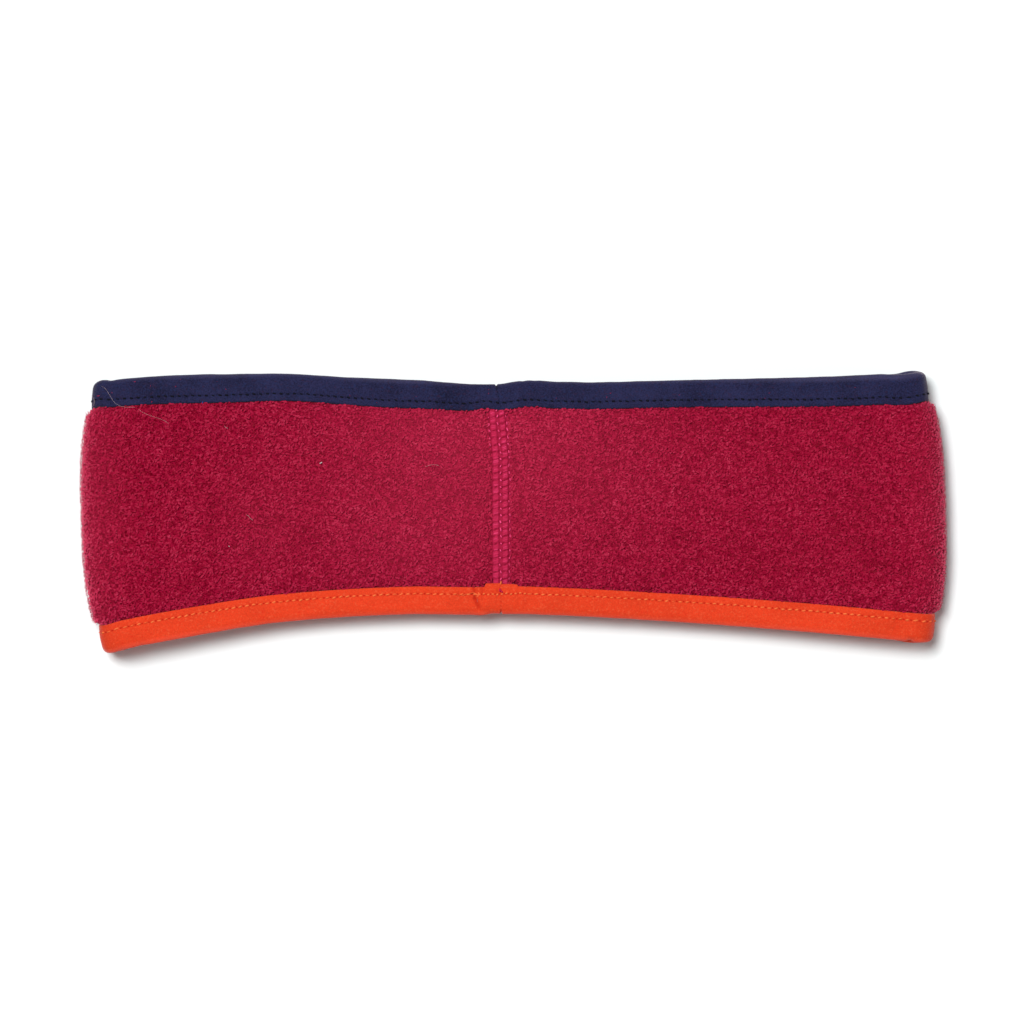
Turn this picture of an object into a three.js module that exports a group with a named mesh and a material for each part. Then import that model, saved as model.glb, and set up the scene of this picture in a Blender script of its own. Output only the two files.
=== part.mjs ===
import * as THREE from "three";

// An ear warmer headband lying flat: a loop of fleece folded at both ends, with a knitted tape
// bound over each hem. X runs along the flat loop, Y across the band and Z up from the surface.
// The back of the band, with its seam, is the upper run and the forehead is the lower one.
// All lengths are in millimetres.

// The flat loop
const flatWidth = 250; // fold to fold, over the fleece
const heightAtSeam = 66.6; // hem to hem at the back seam
const heightAtFolds = 78.6; // hem to hem over the ears
const wideningPower = 1.6; // how late the band widens towards the folds
const archDrop = 4.1; // how far both ends curve down
const endSkew = 1.7; // how far the right end lies up and the left end down
const midSway = 2.6; // how far the runs sway the other way before the ends
const headGap = 5.5; // clear space between the two runs at the seam
const sagStart = 0.45; // share of the half width where the upper run has sagged fully

// The folds
const foldInside = 4; // inside radius of a fold
const foldBulge = 3.7; // how far the fleece swells out between the tapes
const bulgeStep = 0.32; // share of the bulge that rises at the tape's edge
const bulgeStepLength = 1.2; // length of that rise
const crownRise = 0.7; // how far the fleece crowns on the upper run
const cornerPull = 0.35; // how far a hem draws in at the fold

// Fleece and tape
const fleeceThickness = 4;
const pressedFleece = 1.4; // its thickness inside a tape
const fleeceRiseLength = 4; // from the tape's edge to its full thickness
const topTapeWidth = 7.8;
const bottomTapeWidth = 8.1;
const tapeWall = 1;
const clearance = 0.3; // between pieces

// The join of each tape, and the raised tab at the bottom one
const grooveWidth = 1.2;
const grooveDepth = 0.35;
const tabWidth = 9.6;
const tabReach = 1; // how much wider the tape is there
const tabRise = 0.25;
const tabSlope = 0.7;

// The back seam
const seamWidth = 5.8;
const seamThickness = 0.8;
const seamOffset = -3.4; // from the middle of the flat loop
const seamLean = -1.7; // how far its top leans
const seamLeanStart = 0.68; // share of the height where the lean starts
const valleyDepth = 0.85; // how far the seam presses the fleece
const valleySlope = 2.8;

// Steps of the mesh
const runSteps = 11;
const foldSteps = 9;
const frontSteps = 9;
const noseSteps = 6;
const innerNoseSteps = 4;
const fleeceEdgeSteps = 3;
const shortestStep = 0.18;

const colours = { fleece: "#9d1635", topTape: "#292847", bottomTape: "#e94626", seam: "#b22044" };

const pressedHalf = pressedFleece / 2;
const fleeceHalf = fleeceThickness / 2;
const tapeInner = pressedHalf + clearance;
const tapeOuter = tapeInner + tapeWall;
const wallHalf = Math.max(fleeceHalf, tapeOuter);
const foldRadius = foldInside + wallHalf;
const hemReach = flatWidth / 2 - foldBulge - wallHalf;
const sagDepth = 2 * foldRadius - headGap - 2 * wallHalf;
const tapeWidths = { bottom: bottomTapeWidth, top: topTapeWidth };

// lean is the slope of the fold line, bulge a share of foldBulge, and bottomDraw and topDraw
// how far the fold is drawn in at each hem
const folds = {
  left: { sign: -1, lean: 0.033, bulge: 1.04, bottomDraw: 1.4, topDraw: 0.9 },
  right: { sign: 1, lean: -0.03, bulge: 1, bottomDraw: 1.1, topDraw: 0.9 },
};

// Where a hem leaves its smooth line: at and reach are shares of half the flat width,
// move is a share of the tape's width, up where it is positive
const hemMoves = [
  { run: "back", hem: "top", at: -0.955, reach: 0.03, move: 0.05 },
  { run: "back", hem: "top", at: -0.82, reach: 0.45, move: 0.075 },
  { run: "back", hem: "top", at: -0.1, reach: 0.12, move: -0.085 },
  { run: "back", hem: "top", at: 0.03, reach: 0.07, move: 0.08 },
  { run: "back", hem: "top", at: 0.08, reach: 0.12, move: 0.06 },
  { run: "back", hem: "top", at: 0.37, reach: 0.45, move: 0.09 },
  { run: "back", hem: "top", at: 0.9, reach: 0.06, move: -0.065 },
  { run: "back", hem: "top", at: 0.985, reach: 0.05, move: 0.06 },
  { run: "back", hem: "bottom", at: -0.76, reach: 0.22, move: -0.065 },
  { run: "front", hem: "top", at: 0, reach: 0.75, move: -0.07 },
  { run: "front", hem: "bottom", at: 0, reach: 0.75, move: 0.07 },
  { run: "front", hem: "top", at: 0.93, reach: 0.045, move: 0.1 },
  { run: "front", hem: "bottom", at: -0.915, reach: 0.05, move: -0.06 },
  { run: "front", hem: "bottom", at: 0.92, reach: 0.05, move: -0.07 },
];

// The fleece beside a tape: past is a share of fleeceRiseLength, swell of the thickness gained
const fleeceRise = [
  { past: 0, swell: 0 },
  { past: 0.12, swell: 0.78 },
  { past: 0.42, swell: 1 },
  { past: 1, swell: 1 },
];

// Across the seam: two ribs with a groove between, as shares of half its width and its thickness
const seamColumns = [
  { across: -1, rise: 0.35 },
  { across: -0.55, rise: 1 },
  { across: 0, rise: 0.5 },
  { across: 0.55, rise: 1 },
  { across: 1, rise: 0.35 },
];

const { clamp, lerp, smoothstep } = THREE.MathUtils;

// 1 inside the edge and 0 outside it, over a slope centred on the edge
function fade(distance, edge, slope) {
  return 1 - smoothstep(distance, edge - slope / 2, edge + slope / 2);
}

// How much of the bulge the fleece has, from its distances past the two tapes
function bulgeShape(pastBottom, pastTop) {
  if (pastBottom <= 0 || pastTop <= 0) return 0;
  const crown = 1 - Math.abs((pastBottom - pastTop) / (pastBottom + pastTop)) ** 3;
  const step = smoothstep(Math.min(pastBottom, pastTop), 0, bulgeStepLength);
  return bulgeStep * step + (1 - bulgeStep) * crown;
}

// X where a run turns into its fold
function foldStart(fold, share, bulge) {
  const lean = fold.lean * (share - 0.5) * heightAtFolds;
  const nearBottom = Math.max(0, 1 - (share * heightAtFolds) / bottomTapeWidth);
  const nearTop = Math.max(0, 1 - ((1 - share) * heightAtFolds) / topTapeWidth);
  const draw = fold.bottomDraw * nearBottom ** 2 + fold.topDraw * nearTop ** 2;
  return fold.sign * (hemReach + lean - draw + foldBulge * fold.bulge * bulge - foldRadius);
}

function seamLine(share) {
  const lean = clamp((share - seamLeanStart) / (1 - seamLeanStart), 0, 1);
  return seamOffset + seamLean * lean;
}

for (const fold of Object.values(folds)) {
  fold.frontRun = Math.abs(foldStart(fold, 0.5, 1));
  fold.backRun = Math.abs(foldStart(fold, 0.5, 1) - seamOffset);
  fold.halfLoop = fold.backRun + Math.PI * foldRadius + fold.frontRun;
}

// The loop seen along the head: where its middle surface runs at a distance from the seam.
// turned is 0 on the upper run and 1 on the lower one, apex is 1 where the fold is outermost.
function loopPlace(along, share, bulge) {
  const fold = along < 0 ? folds.left : folds.right;
  const distance = Math.abs(along);
  const start = foldStart(fold, share, bulge);
  const crown = crownRise * bulge;
  const angle = (distance - fold.backRun) / foldRadius;
  if (angle <= 0) {
    const x = lerp(seamLine(share), start, distance / fold.backRun);
    const sag = sagDepth * (1 - smoothstep(Math.abs(x / start), sagStart, 1));
    return { x, z: wallHalf + 2 * foldRadius + crown - sag, turned: 0, apex: 0 };
  }
  if (angle < Math.PI) {
    const x = start + fold.sign * foldRadius * Math.sin(angle);
    const turned = (1 - Math.cos(angle)) / 2;
    const z = wallHalf + (2 * foldRadius + crown) * (1 - turned);
    return { x, z, turned, apex: Math.sin(angle) };
  }
  const past = distance - fold.backRun - Math.PI * foldRadius;
  return { x: start * (1 - past / fold.frontRun), z: wallHalf, turned: 1, apex: 0 };
}

// Y of both hems at a place on the loop
function hemLines({ x, turned, apex }) {
  const reach = Math.abs(x) / hemReach;
  const height = lerp(heightAtSeam, heightAtFolds, reach ** wideningPower);
  const skew = Math.sign(x) * (endSkew * reach ** 3 - midSway * (reach - reach ** 3));
  const centre = skew - archDrop * reach ** 3;
  const pull = cornerPull * apex ** 6;
  const hems = { bottom: centre - height / 2 + pull, top: centre + height / 2 - pull };
  for (const row of hemMoves) {
    const away = (x - (row.at * flatWidth) / 2) / ((row.reach * flatWidth) / 2);
    const bump = Math.max(0, 1 - away ** 2) ** 2;
    const weight = row.run === "front" ? turned : 1 - turned;
    hems[row.hem] += row.move * tapeWidths[row.hem] * bump * weight;
  }
  return hems;
}

function tabAt(hem, along) {
  return hem === "bottom" ? fade(Math.abs(along), tabWidth / 2, tabSlope) : 0;
}

function tapeWidthAt(hem, along) {
  return tapeWidths[hem] + tabReach * tabAt(hem, along);
}

// The bulge at a share of the height, moved by an inset in millimetres
function bulgeAt(along, share, inset) {
  const hems = hemLines(loopPlace(along, share, 0));
  const height = hems.top - hems.bottom;
  const pastBottom = share * height + inset - tapeWidthAt("bottom", along) - clearance;
  const pastTop = (1 - share) * height - inset - tapeWidthAt("top", along) - clearance;
  return bulgeShape(pastBottom, pastTop);
}

// A point of the wall's middle surface
function middlePoint(along, share, inset, bulge) {
  const first = hemLines(loopPlace(along, share, bulge));
  const place = loopPlace(along, share + inset / (first.top - first.bottom), bulge);
  const hems = hemLines(place);
  return new THREE.Vector3(place.x, lerp(hems.bottom, hems.top, share) + inset, place.z);
}

// A point off the middle surface. Its direction leaves out the slope of the bulge, so that the
// fleece rises beside a tape and doesn't lean over it.
function wallPoint(along, { share, inset, offset }) {
  const step = 0.02;
  const bulge = bulgeAt(along, share, inset);
  const ahead = middlePoint(along + step, share, inset, bulge);
  ahead.sub(middlePoint(along - step, share, inset, bulge));
  const upward = middlePoint(along, share, inset + step, bulge);
  upward.sub(middlePoint(along, share, inset - step, bulge));
  const normal = ahead.cross(upward).normalize();
  return middlePoint(along, share, inset, bulge).addScaledVector(normal, offset);
}

// Distances from the seam where the mesh has a section, denser at the seam and in the folds
function stationsOf(fold) {
  const marks = [grooveWidth / 2, seamWidth / 2 + clearance, seamWidth / 2 + valleySlope];
  marks.push(tabWidth / 2 - tabSlope / 2, tabWidth / 2 + tabSlope / 2);
  for (const column of seamColumns) {
    marks.push(Math.abs(column.across * seamWidth) / 2);
  }
  for (let i = 1; i <= runSteps; i++) {
    marks.push((fold.backRun * i) / runSteps);
  }
  for (let i = 1; i <= foldSteps; i++) {
    marks.push(fold.backRun + (Math.PI * foldRadius * i) / foldSteps);
  }
  for (let i = 1; i <= frontSteps; i++) {
    marks.push(fold.halfLoop - (fold.frontRun * (frontSteps - i)) / frontSteps);
  }
  marks.sort((a, b) => a - b);
  return marks.filter((mark, i) => mark - (marks[i - 1] ?? 0) > shortestStep);
}

const leftStations = stationsOf(folds.left).map((mark) => -mark);
const loopStations = [...leftStations.slice(0, -1).reverse(), 0, ...stationsOf(folds.right)];

// An arc round the end of a hem, from its outer face to its inner one
function noseArc(radius, steps) {
  return Array.from({ length: steps + 1 }, (_, i) => ({
    inset: tapeOuter - radius * Math.sin((Math.PI * i) / steps),
    offset: radius * Math.cos((Math.PI * i) / steps),
  }));
}

// Insets from the top hem point down, so its profile runs the other way round
function atHem(hem, profile) {
  if (hem === "bottom") return profile.map((row) => ({ share: 0, ...row }));
  return profile.map((row) => ({ share: 1, inset: -row.inset, offset: row.offset })).reverse();
}

// A tape folded over a hem, with a groove where its two ends meet
function tapeProfile(hem, along) {
  const groove = grooveDepth * Math.max(0, 1 - (2 * Math.abs(along)) / grooveWidth);
  const width = tapeWidthAt(hem, along);
  const outer = tapeOuter - groove;
  const raised = outer + tabRise * tabAt(hem, along);
  return atHem(hem, [
    { inset: width, offset: raised },
    ...noseArc(outer, noseSteps),
    { inset: width, offset: -outer },
    { inset: width, offset: -tapeInner },
    ...noseArc(tapeInner, innerNoseSteps).reverse(),
    { inset: width, offset: tapeInner },
  ]);
}

// Rows of the fleece's face between the two tapes, from the bottom one up
function faceRows(along) {
  const low = tapeWidthAt("bottom", along) + clearance;
  const high = tapeWidthAt("top", along) + clearance;
  const risen = low + fleeceRiseLength;
  const lowered = high + fleeceRiseLength;
  const beside = fleeceRise.map(({ past, swell }) => ({ past: past * fleeceRiseLength, swell }));
  const between = [0.25, 0.5, 0.75];
  return [
    ...beside.map(({ past, swell }) => ({ share: 0, inset: low + past, swell })),
    ...between.map((share) => ({ share, inset: lerp(risen, -lowered, share), swell: 1 })),
    ...beside.map(({ past, swell }) => ({ share: 1, inset: -high - past, swell })).reverse(),
  ];
}

// Height of the fleece's outer face over its middle surface, pressed down along the seam
function outerFace(along, swell) {
  const slopeMiddle = seamWidth / 2 + (clearance + valleySlope) / 2;
  const valley = valleyDepth * fade(Math.abs(along), slopeMiddle, valleySlope - clearance);
  return lerp(pressedHalf, fleeceHalf - valley * swell, swell);
}

function fleeceProfile(along) {
  const edge = noseArc(pressedHalf, fleeceEdgeSteps);
  const outer = faceRows(along).map((row) => ({ ...row, offset: outerFace(along, row.swell) }));
  const inner = faceRows(along).map((row) => ({
    ...row,
    offset: -lerp(pressedHalf, fleeceHalf, row.swell),
  }));
  return [...outer.reverse(), ...atHem("bottom", edge), ...inner, ...atHem("top", edge)];
}

// One closed skin over a row of sections, each with the same count of points
function skin(sections, isLoop) {
  const count = sections[0].length;
  const index = [];
  const addQuad = (a, b, c, d) => index.push(a, b, c, a, c, d);
  const spans = isLoop ? sections.length : sections.length - 1;
  for (let i = 0; i < spans; i++) {
    const here = i * count;
    const next = ((i + 1) % sections.length) * count;
    for (let j = 0; j < count; j++) {
      const k = (j + 1) % count;
      addQuad(here + j, here + k, next + k, next + j);
    }
  }
  const lastStart = (sections.length - 1) * count;
  for (let j = 0; !isLoop && j < count / 2 - 1; j++) {
    const far = count - 1 - j;
    addQuad(j, far, far - 1, j + 1);
    addQuad(lastStart + far, lastStart + j, lastStart + j + 1, lastStart + far - 1);
  }
  const geometry = new THREE.BufferGeometry().setFromPoints(sections.flat());
  geometry.setIndex(index);
  geometry.computeVertexNormals();
  return geometry;
}

function sweptRing(profileAt) {
  const sections = loopStations.map((along) =>
    profileAt(along).map((row) => wallPoint(along, row)),
  );
  return skin(sections, true);
}

// The flat seam lies in its valley from tape to tape, one clearance over the fleece
function seamStrip() {
  const rowCount = faceRows(0).length;
  const sections = Array.from({ length: rowCount }, (_, i) => {
    const columns = seamColumns.map(({ across, rise }) => {
      const along = (across * seamWidth) / 2;
      const row = faceRows(along)[i];
      const base = outerFace(along, row.swell) + clearance;
      const under = wallPoint(along, { ...row, offset: base });
      const over = wallPoint(along, { ...row, offset: base + rise * seamThickness });
      return { under, over };
    });
    return [...columns.map(({ over }) => over), ...columns.map(({ under }) => under).reverse()];
  });
  return skin(sections, false);
}

function cloth(name, geometry, colour, roughness) {
  const material = new THREE.MeshStandardMaterial({ color: colour, roughness, metalness: 0 });
  const mesh = new THREE.Mesh(geometry, material);
  mesh.name = name;
  return mesh;
}

const headband = new THREE.Group();
headband.add(
  cloth("fleece_band", sweptRing(fleeceProfile), colours.fleece, 0.95),
  cloth("top_binding", sweptRing((along) => tapeProfile("top", along)), colours.topTape, 0.8),
  cloth("bottom_binding", sweptRing((along) => tapeProfile("bottom", along)), colours.bottomTape, 0.8),
  cloth("back_seam", seamStrip(), colours.seam, 0.75),
);

// The origin is on the surface, under the middle of the part
const reach = new THREE.Box3().setFromObject(headband);
const middle = reach.getCenter(new THREE.Vector3());
headband.position.set(-middle.x, -middle.y, -reach.min.z);

export default headband;
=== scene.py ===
import math

import bpy
import numpy as np
from bpy.props import FloatProperty, FloatVectorProperty, IntProperty, PointerProperty
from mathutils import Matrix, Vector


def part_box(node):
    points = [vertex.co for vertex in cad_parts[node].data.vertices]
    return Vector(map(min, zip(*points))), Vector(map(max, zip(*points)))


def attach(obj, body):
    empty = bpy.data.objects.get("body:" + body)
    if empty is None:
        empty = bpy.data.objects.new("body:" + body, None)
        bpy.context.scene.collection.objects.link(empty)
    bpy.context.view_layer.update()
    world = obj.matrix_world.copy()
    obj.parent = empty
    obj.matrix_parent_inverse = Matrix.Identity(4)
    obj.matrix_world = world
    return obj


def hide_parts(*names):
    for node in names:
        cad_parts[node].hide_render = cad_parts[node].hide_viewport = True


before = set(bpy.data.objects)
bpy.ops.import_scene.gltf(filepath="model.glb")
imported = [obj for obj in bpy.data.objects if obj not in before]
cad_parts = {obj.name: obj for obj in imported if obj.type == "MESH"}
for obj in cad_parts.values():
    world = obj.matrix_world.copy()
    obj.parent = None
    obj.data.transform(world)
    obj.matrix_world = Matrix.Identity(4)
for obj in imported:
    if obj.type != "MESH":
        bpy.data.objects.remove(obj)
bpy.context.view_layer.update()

bl_info = {
    "name": "Ear Warmer Headband",
    "version": (1, 0, 0),
    "blender": (4, 5, 0),
    "location": "3D View > Sidebar > Headband",
    "description": "Models a fleece ear warmer headband lying flat, its hems taped",
    "category": "Add Mesh",
}

MM = 0.001
BODY = "root"
CUT_SHARE = 0.92  # how much of its rectangle the cut fills, as it narrows towards the seam


def table(columns, *rows):
    """Rows of values, each value under the name of its column."""
    return [dict(zip(columns.split(), row)) for row in rows]


# The folds: the slope of each fold line, its share of the fleece's bulge, and how far it is
# drawn in at each hem, in millimetres
FOLDS = {
    "left": {"sign": -1, "lean": 0.033, "bulge": 1.04, "bottom_draw": 1.4, "top_draw": 0.9},
    "right": {"sign": 1, "lean": -0.03, "bulge": 1.0, "bottom_draw": 1.1, "top_draw": 0.9},
}

# Where a hem leaves its smooth line: at and reach are shares of half the flat width,
# move is a share of the tape's width, up where it is positive
HEM_MOVES = table(
    "run hem at reach move",
    ("back", "top", -0.958, 0.03, 0.1),
    ("back", "top", -0.82, 0.45, 0.075),
    ("back", "top", -0.52, 0.14, 0.05),
    ("back", "top", -0.1, 0.12, -0.06),
    ("back", "top", 0.03, 0.07, 0.08),
    ("back", "top", 0.08, 0.12, 0.06),
    ("back", "top", 0.37, 0.45, 0.09),
    ("back", "top", 0.9, 0.06, -0.065),
    ("back", "top", 0.975, 0.055, 0.12),
    ("back", "bottom", -0.76, 0.22, -0.065),
    ("back", "bottom", -0.95, 0.05, -0.08),
    ("back", "bottom", -0.1, 0.14, -0.045),
    ("front", "top", 0, 0.75, -0.07),
    ("front", "bottom", 0, 0.75, 0.07),
    ("front", "top", 0.93, 0.045, 0.1),
    ("front", "bottom", -0.915, 0.05, -0.06),
    ("front", "bottom", 0.92, 0.05, -0.07),
)

# Where a tape is folded wider: place along the loop, reach and how much wider, in millimetres
TAPE_SPREADS = table(
    "hem at reach wider",
    ("top", -88, 20, 0.55),
    ("top", -31, 16, 0.55),
    ("top", -3.5, 3.5, -0.75),
    ("top", 115, 42, 1.1),
    ("bottom", -107, 32, 0.5),
    ("bottom", 103, 45, 0.3),
)

# Creases across a tape: place along the loop and width in millimetres, lean across the tape,
# depth in millimetres, out where it is negative, how much painted shade darkens it, and how
# far from the hem it starts and ends
TAPE_CREASES = table(
    "hem at lean width depth dark from to",
    ("bottom", -8.2, 0.08, 0.5, 0.4, 0.7, 4.9, 9),
    ("bottom", -7.9, 0.45, 0.55, 0.5, 0.6, 2.2, 5.4),
    ("bottom", -7.2, 0.1, 0.8, -0.22, 0, 4.9, 9),
    ("bottom", -6.6, 0.45, 0.9, -0.22, 0, 2.2, 5.4),
    ("bottom", -5.6, 0.1, 0.45, 0.2, 0.45, 6.2, 9),
    ("bottom", -2.4, 0, 2.3, 0.3, 0, -1, 1.2),
    ("bottom", -6.6, 0, 2, -0.22, 0, -1, 1.2),
    ("bottom", 7.2, -0.15, 0.9, 0.16, 0.15, 1.5, 9),
    ("bottom", -112, 0.3, 1.6, 0.15, 0, -1, 9),
    ("bottom", 116.5, -0.4, 1.2, 0.3, 0.2, 2.8, 9),
    ("bottom", 121.4, 0, 0.8, 0.5, 0, -1, 1.4),
    ("top", 7.8, 0.1, 0.9, 0.16, 0.2, -1, 9),
    ("top", 11.5, 0.05, 1.2, 0.12, 0.1, -1, 9),
    ("top", -114, -0.5, 1.4, 0.14, 0.1, -1, 9),
)

# How each tape's jersey looks: its needle holes, the painted sheen on its hem rim, the tints
# of its speckle, how strong the speckle is, and how far the needle's holes darken it
TAPE_LOOKS = table(
    "hem name hole rim cool warm speckle pierce",
    (
        "top", "navy_tape", (0.005, 0.005, 0.012), (0.02, 0.017, 0.03),
        (0.014, 0.023, 0.075), (0.03, 0.013, 0.032), 0.5, 0.25,
    ),
    (
        "bottom", "orange_tape", (0.4, 0.012, 0.005), (0.22, 0.03, 0.02),
        (0.67, 0.09, 0.035), (0.56, 0.02, 0.008), 0.14, 0.95,
    ),
)

# Where the two ends of a tape meet: place at the hem in millimetres, and lean across the tape
TAPE_JOINS = {"bottom": {"at": -0.25, "lean": 0.0}, "top": {"at": 0.05, "lean": 0.09}}

# Each tape's stitches: their share of the pitch, and how much wider than their thread they lie
STITCH_LOOKS = table(
    "hem name long thick",
    ("top", "navy_stitches", 0.56, 1.3),
    ("bottom", "orange_stitches", 0.62, 1.12),
)

# Each hem's share of the height, and the way from it into the cloth
HEM_ENDS = {"bottom": (0.0, 1.0), "top": (1.0, -1.0)}

# The ribs of the back seam, and its rows of needle stitches: place from the seam's middle and
# size in millimetres, how pale the thread is, the share of the seam from where the row shows,
# and where it is palest
SEAM_RIBS = table(
    "middle half height",
    (-1.72, 1.02, 0.42),
    (0.98, 0.98, 0.44),
)
SEAM_GROOVE = -0.4  # the middle between the ribs
RIB_STRANDS = (-0.55, -0.24, 0.06, 0.36, 0.66)  # where each stitch's threads cross a rib
RUNG_SLANT, RUNG_START = 540, 0.375  # turn in radians per metre across, and share of the pitch
SEAM_ROWS = table(
    "at slant long thick pale from palest",
    (-3, 0.3, 0.9, 0.14, 0.7, 0.76, 0.9),
    (-0.34, 0.45, 0.8, 0.21, 1, 0, 0.32),
    (2.25, 0.15, 1, 0.17, 0.7, 0, 0.85),
)

# Where the upper run is painted paler: its middle and reach on the floor in millimetres.
# The last two rows, along the folds' rims, are painted sheen.
PALER_PATCHES = table(
    "x y wide tall paler",
    (-20, 20, 36, 42, 0.12),
    (22, 22, 34, 34, 0.07),
    (-74, -3, 12, 14, 0.05),
    (-36, -10, 20, 12, 0.03),
    (95, 10, 40, 50, 0.02),
    (-119, 0, 6, 60, 0.07),
    (121, 10, 6, 60, 0.06),
)

# How many loose fibres are drawn for both folds together
FUZZ_FIBRES = 3000

# Loose hairs on the band: places on the floor in millimetres that each runs through, and its
# radius
LINT_HAIRS = table(
    "through radius",
    (((-119.3, 36.4), (-116.6, 33.9), (-114.6, 31.1), (-111.6, 30.1), (-108.3, 29.9)), 0.024),
    (((-108.3, 29.9), (-105.3, 27.9), (-101.5, 26.6), (-99.1, 24.9)), 0.02),
    (((-122, 33.5), (-121.3, 32.7), (-121.1, 31.7), (-121.4, 30.3)), 0.028),
    (((-77.1, -1), (-76.4, -1.3), (-75.7, -2.1), (-75, -2.5)), 0.035),
    (((-82.1, -9.9), (-82, -10), (-81.9, -10.1), (-81.8, -10.1)), 0.12),
    (((-55.9, 13.8), (-55.6, 14), (-55.4, 14.1), (-55.1, 14.3)), 0.17),
    (((-83.3, 24.8), (-83, 24.3), (-82.7, 24.2), (-82.3, 23.9)), 0.04),
    (((-25.6, 12.9), (-24, 13.4), (-22.6, 13.5), (-21.1, 13.1)), 0.022),
)

# Short bits of thread on the tapes: middle on the floor in millimetres, turn in degrees, length
# and radius in millimetres, and whose thread it is
THREAD_BITS = table(
    "x y turn long radius of",
    (-3.62, -20.6, 80, 1.3, 0.2, "orange"),
    (-3.75, -22.75, 95, 1.05, 0.34, "pink"),
    (-3.35, -23.2, 130, 0.9, 0.24, "pink"),
    (-10.75, -23.85, -25, 1.7, 0.26, "orange"),
    (-10.3, -24.25, 65, 1.4, 0.24, "orange"),
    (-9.9, -23.7, -60, 0.9, 0.22, "orange"),
    (-12, -23.5, 8, 1.9, 0.14, "orange"),
    (-14.3, -23.9, 18, 1.8, 0.15, "orange"),
    (-15.6, -24, -15, 1.3, 0.14, "orange"),
    (-119.9, 33.5, 10, 0.9, 0.08, "pink"),
    (-104.3, 31.7, 30, 0.5, 0.09, "pink"),
    (-109.2, 37.5, 0, 0.6, 0.07, "pink"),
    (-89.7, 31.5, 80, 0.7, 0.11, "blue"),
)

# The picture: its side and the band's middle in pixels, its scale, and the lens and sensor in
# millimetres
PICTURE = 1024
CENTRE_X, CENTRE_Y = 513.0, 511.5
PIXELS_PER_MM = 3.452
LENS, SENSOR = 200.0, 36.0

# The light from all round, and the lamps: place and size in metres, power in watts
ROOM_LIGHT = 0.19
LAMPS = table(
    "name place size power",
    ("key", (-1.05, 1.12, 4.3), 1.6, 254.0),
    ("fill", (2.6, -0.2, 1.0), 1.6, 16.0),
)


def length(name, description, millimetres):
    """A size of the headband, in Blender's own unit of length."""
    return FloatProperty(name=name, description=description, default=millimetres * MM, unit="LENGTH")


def share(name, description, default):
    """A plain number of the headband's shape."""
    return FloatProperty(name=name, description=description, default=default)


def colour(name, description, red, green, blue):
    """A colour of the cloth, in linear light."""
    return FloatVectorProperty(
        name=name, description=description, default=(red, green, blue), subtype="COLOR", min=0, max=1
    )


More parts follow.
